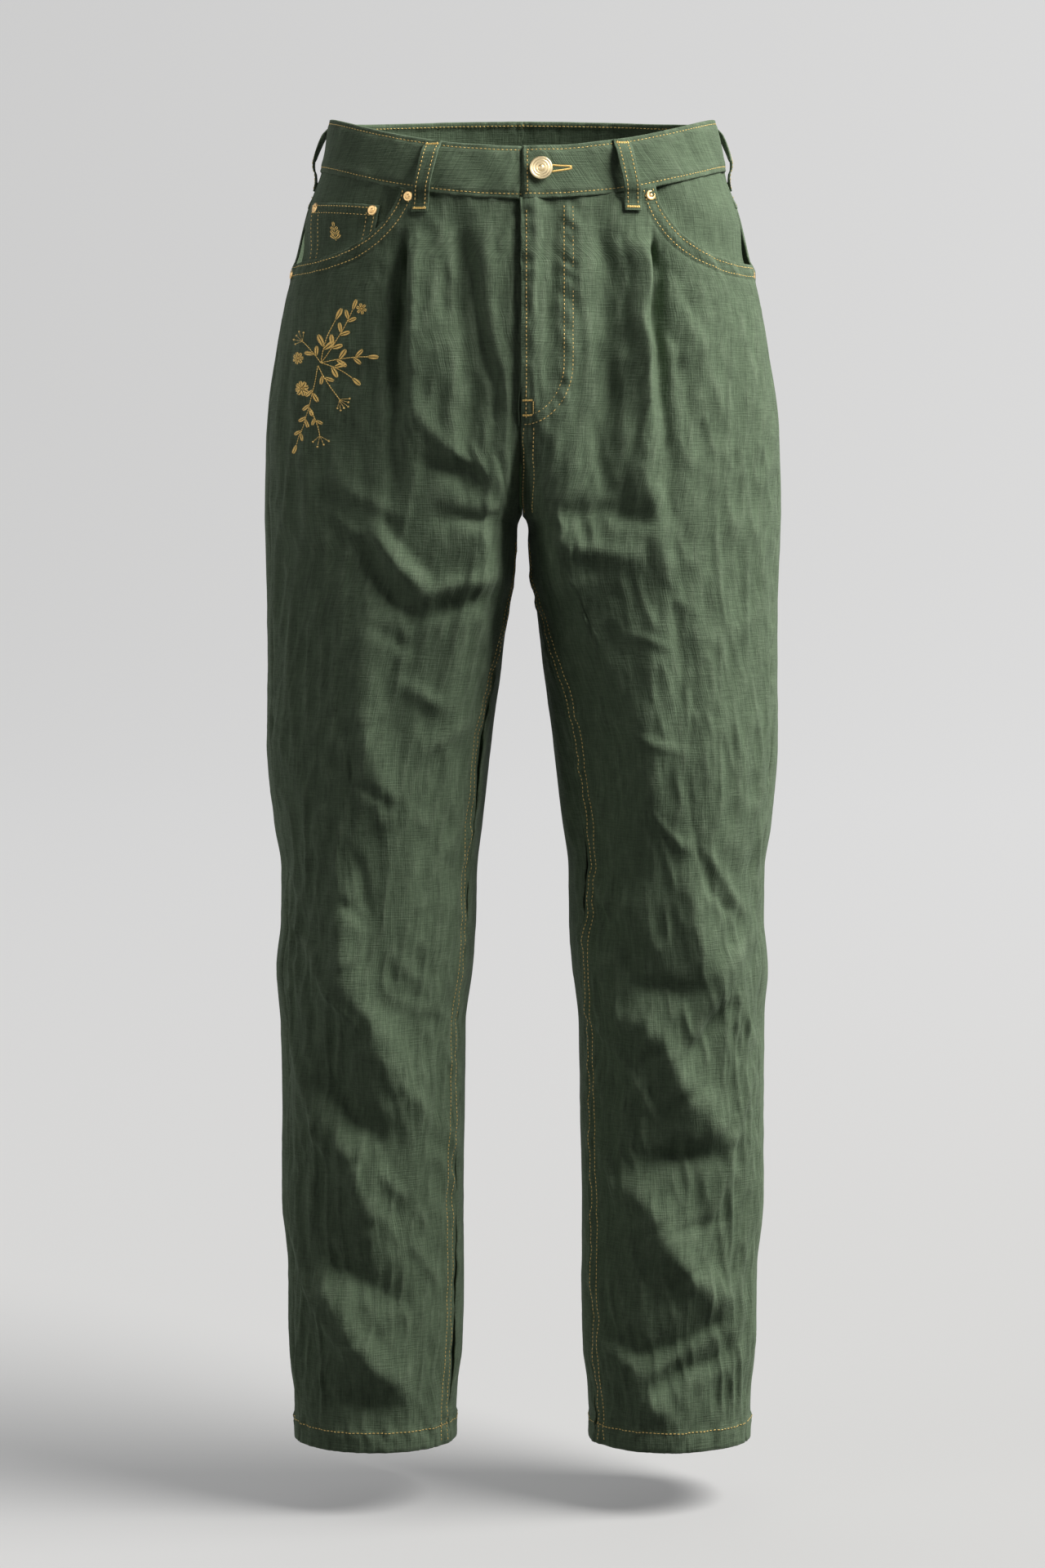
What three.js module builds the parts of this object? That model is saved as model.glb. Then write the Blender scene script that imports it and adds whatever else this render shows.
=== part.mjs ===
// Five-pocket jeans with a single pleat in each front, filled out as if worn.
// Millimetres, +Z up, the front towards -Y, the wearer's left towards +X.
// The origin is the centre of the waist opening, level with the waistband's top edge at the hips.
import * as THREE from "three";

// ---------------------------------------------------------------- driving sizes

const OUTSEAM = 1032; // waistband's top edge at the hip, down to the hem
const CROTCH_Z = -303; // lowest point of the centre seam
const CROTCH_NOTCH = { width: 4, height: 8 }; // the legs part by this much at once
const FRONT_CURVE = 105; // height over which the centre seam curves under, in front
const BACK_CURVE = 150; // the same behind
const TORSO_ROUNDNESS = 2.2; // exponent of the torso's superellipse
const TORSO_TO_LEG = { from: -180, to: -560 }; // its outer side turns into a leg's between these
// Share of a leg's width over which its inner edge is rounded, at the crotch and at the knee.
const INNER_ROUNDING = { crotch: 0.14, knee: 0.5 };
const FRONT_DIP = 27; // the waist is this much lower at the centre front
const BACK_RISE = 8; // and this much higher at the centre back

const WALL = 1.6; // the cloth's wall
const SEAM_GAP = 0.3; // between neighbouring pieces
const CENTRE_CLEARANCE = SEAM_GAP / 2; // each half stops this far from the middle
const SEAM_TURN = 0.0024; // the side seams' gap as a share of a turn round the leg, radians

const BAND_HEIGHT = 38;
const BAND_WALL = 2.6;
const BAND_LIFT = 1; // the band's face stands proud of the panels
const HEM_HEIGHT = 17;
const HEM_WALL = 3; // cloth turned up twice
const HEM_LIFT = 0.6;

const PLEAT = { left: 96, right: 86 }; // distance of each pleat from the centre front
const PLEAT_DEPTH = 3.6;
const FLY = { bottom: -232, width: 38, step: 1.3, overlap: 1 };
const BAND_TUCK = { length: 34, step: 1.5 }; // underlap behind the buttonhole end

// One row for each level. outer and inner are the leg's edges seen from the front, inner without
// the crotch's notch. front and back are how far the cloth stands before and behind the hips'
// centre plane.
const LEVELS = [
  { z: 12, outer: 143.5, inner: 0, front: 95, back: 91 },
  { z: 0, outer: 147, inner: 0, front: 97, back: 93 },
  { z: -38, outer: 155, inner: 0, front: 104, back: 100 },
  { z: -70, outer: 166.5, inner: 0, front: 109, back: 110 },
  { z: -100, outer: 174, inner: 0, front: 113, back: 118 },
  { z: -140, outer: 184, inner: 0, front: 116, back: 127 },
  { z: -180, outer: 191.5, inner: 0, front: 118, back: 133 },
  { z: -230, outer: 198.5, inner: 0, front: 118, back: 135 },
  { z: -300, outer: 200.5, inner: 0, front: 115, back: 127 },
  { z: -345, outer: 199.5, inner: 1.5, front: 112, back: 116 },
  { z: -371, outer: 199, inner: 6, front: 110, back: 111 },
  { z: -420, outer: 199, inner: 12, front: 106, back: 104 },
  { z: -480, outer: 199.5, inner: 20, front: 101, back: 97 },
  { z: -540, outer: 195, inner: 27, front: 96, back: 90 },
  { z: -580, outer: 189.5, inner: 31.5, front: 93, back: 84 },
  { z: -620, outer: 190, inner: 32.5, front: 91, back: 78 },
  { z: -655, outer: 193.5, inner: 35, front: 88, back: 76 },
  { z: -700, outer: 190.5, inner: 40.5, front: 82, back: 80 },
  { z: -760, outer: 190, inner: 41, front: 75, back: 84 },
  { z: -840, outer: 190.5, inner: 42.5, front: 68, back: 83 },
  { z: -890, outer: 186, inner: 42.5, front: 65, back: 78 },
  { z: -960, outer: 185, inner: 44, front: 60, back: 70 },
  { z: -995, outer: 181.5, inner: 48, front: 57, back: 65 },
  { z: -1032, outer: 181, inner: 49, front: 55, back: 62 },
];

// The largest folds. x and z are seen from the front or, for the back, from behind; lift is the
// ridge's height, negative for a trough, and reach is how far it spreads to either side.
const FOLDS = [
  // right leg, from the pleat down to the hem
  { side: "right", face: "front", x1: 50, z1: -86, x2: 47, z2: -150, lift: -6, reach: 12 },
  { side: "right", face: "front", x1: 47, z1: -150, x2: 40, z2: -262, lift: -8, reach: 15 },
  { side: "right", face: "front", x1: 28, z1: -92, x2: 24, z2: -150, lift: 2, reach: 8 },
  { side: "right", face: "front", x1: 24, z1: -150, x2: 14, z2: -215, lift: 2, reach: 8 },
  { side: "right", face: "front", x1: 84, z1: -112, x2: 88, z2: -260, lift: 2, reach: 12 },
  { side: "right", face: "front", x1: 80, z1: -222, x2: 45, z2: -252, lift: 3.5, reach: 9 },
  { side: "right", face: "front", x1: 74, z1: -262, x2: 18, z2: -290, lift: -5.5, reach: 10 },
  { side: "right", face: "front", x1: 66, z1: -304, x2: 10, z2: -302, lift: -4, reach: 7 },
  { side: "right", face: "front", x1: 112, z1: -308, x2: 72, z2: -355, lift: 7, reach: 10 },
  { side: "right", face: "front", x1: 124, z1: -322, x2: 86, z2: -372, lift: -5, reach: 9 },
  { side: "right", face: "front", x1: 72, z1: -362, x2: 20, z2: -344, lift: 4, reach: 8 },
  { side: "right", face: "front", x1: 66, z1: -376, x2: 24, z2: -362, lift: -4, reach: 8 },
  { side: "right", face: "front", x1: 122, z1: -370, x2: 120, z2: -460, lift: 5.5, reach: 17 },
  { side: "right", face: "front", x1: 120, z1: -460, x2: 106, z2: -522, lift: 6.5, reach: 15 },
  { side: "right", face: "front", x1: 138, z1: -595, x2: 134, z2: -650, lift: 7, reach: 17 },
  { side: "right", face: "front", x1: 134, z1: -650, x2: 96, z2: -748, lift: 10, reach: 20 },
  { side: "right", face: "front", x1: 160, z1: -728, x2: 106, z2: -788, lift: -7.5, reach: 16 },
  { side: "right", face: "front", x1: 160, z1: -752, x2: 130, z2: -798, lift: 8, reach: 16 },
  { side: "right", face: "front", x1: 130, z1: -798, x2: 122, z2: -846, lift: 7, reach: 16 },
  { side: "right", face: "front", x1: 150, z1: -878, x2: 98, z2: -912, lift: -5, reach: 12 },
  { side: "right", face: "front", x1: 157, z1: -896, x2: 132, z2: -940, lift: 7.5, reach: 15 },
  { side: "right", face: "front", x1: 132, z1: -940, x2: 100, z2: -982, lift: 9, reach: 16 },
  { side: "right", face: "front", x1: 150, z1: -990, x2: 104, z2: -998, lift: -4, reach: 11 },
  // left leg, from the pleat down to the hem
  { side: "left", face: "front", x1: 60, z1: -85, x2: 62, z2: -160, lift: -6.5, reach: 12 },
  { side: "left", face: "front", x1: 62, z1: -160, x2: 66, z2: -290, lift: -8, reach: 15 },
  { side: "left", face: "front", x1: 87, z1: -105, x2: 90, z2: -250, lift: 4.5, reach: 12 },
  { side: "left", face: "front", x1: 90, z1: -250, x2: 104, z2: -345, lift: 6, reach: 13 },
  { side: "left", face: "front", x1: 25, z1: -298, x2: 98, z2: -299, lift: -4, reach: 9 },
  { side: "left", face: "front", x1: 22, z1: -319, x2: 96, z2: -338, lift: 4, reach: 9 },
  { side: "left", face: "front", x1: 40, z1: -352, x2: 52, z2: -460, lift: -15, reach: 38 },
  { side: "left", face: "front", x1: 52, z1: -460, x2: 56, z2: -600, lift: -14, reach: 36 },
  { side: "left", face: "front", x1: 94, z1: -390, x2: 100, z2: -520, lift: 6.5, reach: 16 },
  { side: "left", face: "front", x1: 126, z1: -575, x2: 141, z2: -650, lift: 7.5, reach: 13 },
  { side: "left", face: "front", x1: 55, z1: -610, x2: 95, z2: -660, lift: -5.5, reach: 13 },
  { side: "left", face: "front", x1: 95, z1: -660, x2: 130, z2: -666, lift: -5.5, reach: 11 },
  { side: "left", face: "front", x1: 170, z1: -628, x2: 122, z2: -712, lift: 4.5, reach: 9 },
  { side: "left", face: "front", x1: 160, z1: -680, x2: 122, z2: -718, lift: -4.5, reach: 9 },
  { side: "left", face: "front", x1: 66, z1: -682, x2: 104, z2: -702, lift: 5.5, reach: 13 },
  { side: "left", face: "front", x1: 105, z1: -710, x2: 126, z2: -750, lift: 9, reach: 17 },
  { side: "left", face: "front", x1: 126, z1: -750, x2: 153, z2: -782, lift: 7.5, reach: 16 },
  { side: "left", face: "front", x1: 88, z1: -798, x2: 146, z2: -796, lift: -7, reach: 13 },
  { side: "left", face: "front", x1: 76, z1: -806, x2: 104, z2: -852, lift: 7, reach: 17 },
  { side: "left", face: "front", x1: 104, z1: -852, x2: 128, z2: -890, lift: 9, reach: 17 },
  { side: "left", face: "front", x1: 128, z1: -890, x2: 155, z2: -918, lift: 7.5, reach: 15 },
  { side: "left", face: "front", x1: 62, z1: -926, x2: 94, z2: -952, lift: -4.5, reach: 10 },
  { side: "left", face: "front", x1: 94, z1: -952, x2: 124, z2: -950, lift: -4.5, reach: 10 },
  { side: "left", face: "front", x1: 124, z1: -950, x2: 158, z2: -924, lift: -4, reach: 10 },
  { side: "left", face: "front", x1: 102, z1: -980, x2: 162, z2: -952, lift: -5.5, reach: 9 },
  { side: "left", face: "front", x1: 98, z1: -974, x2: 112, z2: -1002, lift: 5.5, reach: 12 },
  // behind both knees and calves
  { side: "right", face: "back", x1: 52, z1: -598, x2: 150, z2: -640, lift: -10.5, reach: 15 },
  { side: "right", face: "back", x1: 60, z1: -642, x2: 165, z2: -660, lift: 7.5, reach: 17 },
  { side: "right", face: "back", x1: 68, z1: -690, x2: 160, z2: -672, lift: -7.5, reach: 17 },
  { side: "right", face: "back", x1: 74, z1: -860, x2: 150, z2: -925, lift: 7.5, reach: 18 },
  { side: "right", face: "back", x1: 60, z1: -930, x2: 140, z2: -965, lift: -5.5, reach: 15 },
  { side: "right", face: "back", x1: 100, z1: -330, x2: 30, z2: -372, lift: -7, reach: 13 },
  { side: "right", face: "back", x1: 110, z1: -372, x2: 36, z2: -402, lift: 5.5, reach: 12 },
  { side: "left", face: "back", x1: 56, z1: -622, x2: 158, z2: -604, lift: -10.5, reach: 15 },
  { side: "left", face: "back", x1: 60, z1: -652, x2: 150, z2: -640, lift: 7.5, reach: 16 },
  { side: "left", face: "back", x1: 66, z1: -668, x2: 165, z2: -700, lift: -7.5, reach: 18 },
  { side: "left", face: "back", x1: 160, z1: -850, x2: 80, z2: -900, lift: 7.5, reach: 18 },
  { side: "left", face: "back", x1: 150, z1: -895, x2: 66, z2: -945, lift: -5.5, reach: 15 },
  { side: "left", face: "back", x1: 112, z1: -336, x2: 34, z2: -368, lift: -7, reach: 13 },
  { side: "left", face: "back", x1: 118, z1: -368, x2: 40, z2: -404, lift: 5.5, reach: 12 },
];
const FOLD_ROUND = 0.45; // how round a fold's crest is, as a share of its reach

const SIDE_SIGN = { left: 1, right: -1 };
const TURN = 2 * Math.PI;
const clamp = THREE.MathUtils.clamp;
const smooth = (x, from, to) => THREE.MathUtils.smoothstep(x, from, to);
const lerp = THREE.MathUtils.lerp;

// ---------------------------------------------------------------- the garment's surface

// Fritsch-Carlson slopes, so that a column of LEVELS never overshoots its rows.
function slopes(key) {
  const step = LEVELS.slice(1).map((row, i) => (row[key] - LEVELS[i][key]) / (row.z - LEVELS[i].z));
  return LEVELS.map((_, i) => {
    if (i === 0) return step[0];
    if (i === LEVELS.length - 1) return step[i - 1];
    const [a, b] = [step[i - 1], step[i]];
    return a * b <= 0 ? 0 : (2 * a * b) / (a + b);
  });
}
const SLOPES = Object.fromEntries(["outer", "inner", "front", "back"].map((k) => [k, slopes(k)]));

function levelValue(key, z) {
  const at = clamp(z, LEVELS[LEVELS.length - 1].z, LEVELS[0].z);
  let i = 0;
  while (i < LEVELS.length - 2 && LEVELS[i + 1].z > at) i++;
  const [a, b] = [LEVELS[i], LEVELS[i + 1]];
  const h = b.z - a.z;
  const t = (at - a.z) / h;
  const [t2, t3] = [t * t, t * t * t];
  const start = (2 * t3 - 3 * t2 + 1) * a[key] + (t3 - 2 * t2 + t) * h * SLOPES[key][i];
  return start + (3 * t2 - 2 * t3) * b[key] + (t3 - t2) * h * SLOPES[key][i + 1];
}

const innerEdge = (z) => CENTRE_CLEARANCE + levelValue("inner", z);

// The legs part steeply at the crotch.
function crotchNotch(z) {
  const { width, height } = CROTCH_NOTCH;
  return width * Math.sqrt(clamp((CROTCH_Z - z) / height, 0, 1));
}

// A quarter circle's height over its share of the radius.
const quarterRound = (share) => Math.sqrt(1 - (1 - clamp(share, 0, 1)) ** 2);

// A point of one half, for the wearer's left. angle goes from the inner edge or centre front (0)
// over the front to the hip (half a turn), then over the back to the inner edge again.
function basePoint(z, angle) {
  const share = (1 - Math.cos(angle)) / 2;
  const inner = innerEdge(z);
  const x = lerp(inner, levelValue("outer", z), share) + crotchNotch(z) * (1 - share) ** 4;
  const isFront = Math.sin(angle) >= 0;
  // towards the hip
  const torsoDepth = (1 - share ** TORSO_ROUNDNESS) ** (1 / TORSO_ROUNDNESS);
  const legDepth = share < 0.5 ? 1 : Math.abs(Math.sin(angle));
  const outerDepth = lerp(torsoDepth, legDepth, smooth(-z, -TORSO_TO_LEG.from, -TORSO_TO_LEG.to));
  // towards the middle: whole above the crotch, where the centre seam curves under it
  const joined = quarterRound((z - CROTCH_Z) / (isFront ? FRONT_CURVE : BACK_CURVE));
  const { crotch, knee } = INNER_ROUNDING;
  const rounding = lerp(crotch, knee, smooth(-z, -CROTCH_Z, -TORSO_TO_LEG.to));
  const innerDepth = lerp(quarterRound(share / rounding), 1, joined);
  const y = levelValue(isFront ? "front" : "back", z) * outerDepth * innerDepth;
  return new THREE.Vector3(x, isFront ? -y : y, z);
}

// The surface's outward normal by differences, kept to one half above the crotch.
function normalOf(surface, z, angle) {
  const [da, dz] = [0.03, 1.5];
  const [low, high] = z > CROTCH_Z ? [0, TURN] : [-TURN, 2 * TURN];
  const across = surface(z, Math.min(angle + da, high)).sub(surface(z, Math.max(angle - da, low)));
  const down = surface(z - dz, angle).sub(surface(z + dz, angle));
  return down.cross(across).normalize();
}

function foldLift(side, face, x, z) {
  let lift = 0;
  for (const fold of FOLDS) {
    if (fold.side !== side || fold.face !== face) continue;
    const [dx, dz] = [fold.x2 - fold.x1, fold.z2 - fold.z1];
    const t = ((x - fold.x1) * dx + (z - fold.z1) * dz) / (dx * dx + dz * dz);
    const along = clamp(t, 0, 1);
    const away = Math.hypot(x - fold.x1 - along * dx, z - fold.z1 - along * dz);
    const far = 1.3 * (Math.hypot(away / fold.reach, FOLD_ROUND) - FOLD_ROUND);
    const taper = 1 - 0.5 * Math.abs(2 * along - 1) ** 3;
    lift += fold.lift * taper * Math.exp(-far - 0.4 * far * far);
  }
  return lift;
}

// A knife pleat: the cloth towards the middle stands over the cloth towards the hip.
function pleatLift(side, x, z) {
  const away = x - PLEAT[side];
  const spread = lerp(16, 34, clamp((-70 - z) / 200, 0, 1));
  const depth = PLEAT_DEPTH * smooth(-z, 84, 108) * (1 - smooth(-z, 140, 250));
  return -depth * Math.tanh(away / 1.6) * Math.exp(-((away / spread) ** 2));
}

// The left front closes over the right one down to the end of the fly.
function flyLift(side, x, z) {
  const open = smooth(z, FLY.bottom - 12, FLY.bottom + 10);
  return SIDE_SIGN[side] * FLY.step * open * (1 - smooth(x, 4, 26));
}

function surfaceOf(side) {
  return (z, angle) => {
    const p = basePoint(z, angle);
    const isFront = Math.sin(angle) >= 0;
    // the folds run out before the leg's inner and outer edges
    const free = smooth(Math.abs(Math.sin(angle)), 0, 0.6);
    let lift = free * foldLift(side, isFront ? "front" : "back", p.x, z);
    if (isFront) lift += pleatLift(side, p.x, z) + flyLift(side, p.x, z);
    return p.addScaledVector(normalOf(basePoint, z, angle), lift);
  };
}
const SURFACE = { left: surfaceOf("left"), right: surfaceOf("right") };

// A point that stands lift off a half's surface, on the wearer's own side.
function lifted(side, z, angle, lift) {
  const p = SURFACE[side](z, angle).addScaledVector(normalOf(SURFACE[side], z, angle), lift);
  p.x = Math.max(p.x, CENTRE_CLEARANCE);
  return new THREE.Vector3(p.x * SIDE_SIGN[side], p.y, p.z);
}

// ---------------------------------------------------------------- seam lines

const angleAt = (share) => Math.acos(1 - 2 * clamp(share, 0, 1));
const shareAt = (x, z) => (x - innerEdge(z)) / (levelValue("outer", z) - innerEdge(z));
const inseamAngle = (z) => THREE.MathUtils.degToRad(25) * smooth(-z, 315, 480);
const outseamAngle = (z) => THREE.MathUtils.degToRad(lerp(169, 157, smooth(-z, 130, 480)));

// The waistband's edges dip at the front and rise at the back.
function waistZ(angle) {
  const middle = 1 - ((1 - Math.cos(angle)) / 2) ** 2;
  return middle * (Math.sin(angle) >= 0 ? -FRONT_DIP : BACK_RISE);
}
const bandBottomZ = (angle) => waistZ(angle) - BAND_HEIGHT;

// The pocket mouth is a quarter of an ellipse, from the band down to the side seam.
const MOUTH = {
  left: { top: 98, side: 178, start: -46, low: -111 },
  right: { top: 90, side: 178, start: -48, low: -110 },
};
function mouthZ(side, x) {
  const m = MOUTH[side];
  return lerp(m.start, m.low, quarterRound((x - m.top) / (m.side - m.top)));
}

function frontTopZ(side, x, angle) {
  const band = bandBottomZ(angle) - SEAM_GAP;
  return x <= MOUTH[side].top ? band : Math.min(band, mouthZ(side, x));
}

// The yoke's lower edge falls towards the centre back.
const YOKE = { side: 28, centre: 62 };
function yokeZ(angle) {
  const share = (1 - Math.cos(angle)) / 2;
  return bandBottomZ(angle) - lerp(YOKE.centre, YOKE.side, share);
}

// ---------------------------------------------------------------- solids

// Closes two matching grids of points, an outer and an inner one, into one solid.
function wallGeometry(outer, inner) {
  const [rows, columns] = [outer.length, outer[0].length];
  const points = [...outer.flat(), ...inner.flat()];
  const at = (layer, j, i) => layer * rows * columns + j * columns + i;
  const index = [];
  const quad = (a, b, c, d) => index.push(a, b, c, a, c, d);
  for (let j = 0; j < rows - 1; j++)
    for (let i = 0; i < columns - 1; i++) {
      quad(at(0, j, i), at(0, j + 1, i), at(0, j + 1, i + 1), at(0, j, i + 1));
      quad(at(1, j, i), at(1, j, i + 1), at(1, j + 1, i + 1), at(1, j + 1, i));
    }
  for (let i = 0; i < columns - 1; i++) {
    quad(at(0, 0, i), at(0, 0, i + 1), at(1, 0, i + 1), at(1, 0, i));
    const j = rows - 1;
    quad(at(0, j, i + 1), at(0, j, i), at(1, j, i), at(1, j, i + 1));
  }
  for (let j = 0; j < rows - 1; j++) {
    quad(at(0, j + 1, 0), at(0, j, 0), at(1, j, 0), at(1, j + 1, 0));
    const i = columns - 1;
    quad(at(0, j, i), at(0, j + 1, i), at(1, j + 1, i), at(1, j, i));
  }
  return facingOut(new THREE.BufferGeometry().setFromPoints(points).setIndex(index));
}

function facingOut(geometry) {
  const [p, index] = [geometry.attributes.position, geometry.index.array];
  const corner = (k) => new THREE.Vector3().fromBufferAttribute(p, index[k]);
  let volume = 0;
  for (let k = 0; k < index.length; k += 3)
    volume += corner(k).dot(corner(k + 1).cross(corner(k + 2)));
  if (volume < 0)
    for (let k = 0; k < index.length; k += 3) [index[k], index[k + 1]] = [index[k + 1], index[k]];
  return geometry;
}

// A wall between two lifts above a half's surface, through a grid of { z, angle } places.
function clothWall(side, places, liftOf, wallOf = () => WALL) {
  const outer = places.map((row) => row.map((p) => lifted(side, p.z, p.angle, liftOf(p))));
  const inner = places.map((row) =>
    row.map((p) => lifted(side, p.z, p.angle, liftOf(p) - wallOf(p))),
  );
  return wallGeometry(outer, inner);
}

// Rows of every panel below the hip: close together where the centre seam curves under.
const SEAT_TURNS = [90, 66, 46, 30, 17, 8, 0];
const seatRows = (height) =>
  SEAT_TURNS.map((t) => CROTCH_Z + height * (1 - Math.cos(THREE.MathUtils.degToRad(t))));
const LEG_TOP_ROWS = [CROTCH_Z - 2, CROTCH_Z - 8, CROTCH_Z - 19, CROTCH_Z - 36];
const HEM_ROWS = [-OUTSEAM + HEM_HEIGHT + 1.5, -OUTSEAM + HEM_HEIGHT, -OUTSEAM];
const LEG_ROW_COUNT = 30;
function legRows() {
  const [from, to] = [LEG_TOP_ROWS[3], HEM_ROWS[0]];
  const between = Array.from({ length: LEG_ROW_COUNT - 1 }, (_, k) =>
    lerp(from, to, (k + 1) / LEG_ROW_COUNT),
  );
  return [...LEG_TOP_ROWS, ...between, ...HEM_ROWS];
}
const isHem = (p) => p.z <= HEM_ROWS[1] + 0.01;
const panelLift = (p) => (isHem(p) ? HEM_LIFT : 0);
const panelWall = (p) => (isHem(p) ? HEM_WALL : WALL);

const TOP_ROWS_END = -150; // rows above this one follow the panel's top edge
const FRONT_TOP_ROWS = 7;
// Shares of the way from the centre front to the pleat, and from there round to the side seam.
const PLEAT_COLUMNS = {
  towardsMiddle: [0, 0.15, 0.32, 0.5, 0.68, 0.84, 0.96],
  towardsHip: [0, 0.03, 0.12, 0.26, 0.43, 0.62, 0.81, 1],
};
const FRONT_COLUMNS = PLEAT_COLUMNS.towardsMiddle.length + PLEAT_COLUMNS.towardsHip.length;

// The front's columns gather at the pleat above the crotch and are even down the leg.
function frontAngle(side, z, column) {
  const [from, to] = [inseamAngle(z) + (z < CROTCH_Z ? SEAM_TURN : 0), outseamAngle(z) - SEAM_TURN];
  const even = lerp(from, to, column / (FRONT_COLUMNS - 1));
  const { towardsMiddle, towardsHip } = PLEAT_COLUMNS;
  const pleat = angleAt(shareAt(PLEAT[side], z));
  const gathered =
    column < towardsMiddle.length
      ? Math.max(from, angleAt(shareAt(PLEAT[side] * towardsMiddle[column], z)))
      : lerp(pleat, to, towardsHip[column - towardsMiddle.length]);
  return lerp(gathered, even, smooth(-z, 210, 330));
}

function frontPanel(side) {
  const lowRows = [-174, ...seatRows(FRONT_CURVE), ...legRows()];
  const columns = Array.from({ length: FRONT_COLUMNS }, (_, i) => i);
  const top = columns.map((i) => {
    let z = -90;
    for (let k = 0; k < 12; k++) {
      const angle = frontAngle(side, z, i);
      z = frontTopZ(side, basePoint(z, angle).x, angle);
    }
    return z;
  });
  const topRows = Array.from({ length: FRONT_TOP_ROWS + 1 }, (_, j) =>
    columns.map((i) => lerp(top[i], TOP_ROWS_END, j / FRONT_TOP_ROWS)),
  );
  const rows = [...topRows, ...lowRows.map((z) => columns.map(() => z))];
  const places = rows.map((row) => row.map((z, i) => ({ z, angle: frontAngle(side, z, i) })));
  return clothWall(side, places, panelLift, panelWall);
}

const BACK_COLUMNS = 14;
function backAngle(z, share) {
  const to = z < CROTCH_Z ? TURN + inseamAngle(z) - SEAM_TURN : TURN;
  return lerp(outseamAngle(z) + SEAM_TURN, to, share);
}

function backPanel(side) {
  const columns = Array.from({ length: BACK_COLUMNS }, (_, i) => i / (BACK_COLUMNS - 1));
  const top = columns.map((share) => yokeZ(backAngle(-90, share)) - SEAM_GAP);
  const topRows = [0, 0.5].map((t) => top.map((z) => lerp(z, CROTCH_Z + BACK_CURVE, t)));
  const lowRows = [...seatRows(BACK_CURVE), ...legRows()];
  const rows = [...topRows, ...lowRows.map((z) => columns.map(() => z))];
  const places = rows.map((row) => row.map((z, i) => ({ z, angle: backAngle(z, columns[i]) })));
  return clothWall(side, places, panelLift, panelWall);
}

function yoke(side) {
  const columns = Array.from({ length: BACK_COLUMNS }, (_, i) => i / (BACK_COLUMNS - 1));
  const places = [0, 0.5, 1].map((t) =>
    columns.map((share) => {
      const angle = backAngle(-60, share);
      return { z: lerp(bandBottomZ(angle) - 2 * SEAM_GAP, yokeZ(angle), t), angle };
    }),
  );
  return clothWall(side, places, () => 0);
}

// ---------------------------------------------------------------- waistband and fly

// A place on the waist ring. turn 0 is the centre front; it grows past the left hip, the centre
// back and the right hip, and comes back to the centre front at two whole turns.
function ringPlace(turn) {
  const around = ((turn % (2 * TURN)) + 2 * TURN) % (2 * TURN);
  return around <= TURN
    ? { side: "left", angle: around }
    : { side: "right", angle: 2 * TURN - around };
}

const turnAtX = (x, z) => angleAt(x / levelValue("outer", z));
const BAND_Z = -45;
const OVERLAP_TURN = turnAtX(FLY.overlap, BAND_Z);
const TUCK_END = 2 * TURN + turnAtX(BAND_TUCK.length, BAND_Z);

// The buttonhole end is stepped out and the button end is stepped in beneath it.
function bandLift(turn) {
  const over = 1 - smooth(turn, OVERLAP_TURN, OVERLAP_TURN + 1.1);
  const under = smooth(turn, 2 * TURN - 0.32, 2 * TURN - 0.04);
  const tuck = BAND_TUCK.step - BAND_WALL - SEAM_GAP;
  return BAND_LIFT + over * BAND_TUCK.step + under * tuck;
}

// The band is a smooth ring: it takes no fold or fly step from the panels below.
function bandPoint(turn, down, lift) {
  const { side, angle } = ringPlace(turn);
  const z = waistZ(angle) - down;
  const p = basePoint(z, angle).addScaledVector(normalOf(basePoint, z, angle), lift);
  return new THREE.Vector3(p.x * SIDE_SIGN[side], p.y, p.z);
}

function waistband() {
  const count = 66;
  const turns = Array.from({ length: count + 1 }, (_, i) => lerp(OVERLAP_TURN, TUCK_END, i / count));
  const downs = [0, BAND_HEIGHT / 2, BAND_HEIGHT];
  const grid = (sunk) =>
    downs.map((down) => turns.map((turn) => bandPoint(turn, down, bandLift(turn) - sunk)));
  return wallGeometry(grid(0), grid(BAND_WALL));
}

// The strip behind the fly that carries the zip. It ends where the centre seam starts to curve.
const FLY_SHIELD = {
  from: -9,
  to: FLY.width,
  top: -70,
  bottom: CROTCH_Z + FRONT_CURVE - 3,
  gap: 2 * FLY.step + 0.6, // behind the left front, past the right one
};
function flyShield() {
  const { from, to, top, bottom } = FLY_SHIELD;
  const xs = Array.from({ length: 6 }, (_, i) => lerp(from, to, i / 5));
  const zs = Array.from({ length: 5 }, (_, j) => lerp(top, bottom, j / 4));
  const sunk = WALL + FLY_SHIELD.gap;
  const point = (x, z, depth) => {
    const p = lifted("left", z, angleAt(shareAt(Math.max(Math.abs(x), 1), z)), -depth);
    return new THREE.Vector3(x, p.y, p.z);
  };
  const grid = (depth) => zs.map((z) => xs.map((x) => point(x, z, depth)));
  return wallGeometry(grid(sunk), grid(sunk + WALL));
}

// ---------------------------------------------------------------- pockets

const FACING_SUNK = 4.4; // below the front's face, so that the mouth stands over it
const FACING_RISE = { from: 6, to: 34, sunk: 0.4 }; // above the mouth it comes up to the band
const COIN_WALL = 1.2;
const COIN_GAP = 0.8;

function facingLift(side, p) {
  const above = p.z - mouthZ(side, basePoint(p.z, p.angle).x);
  return -lerp(FACING_SUNK, FACING_RISE.sunk, smooth(above, FACING_RISE.from, FACING_RISE.to));
}

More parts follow.
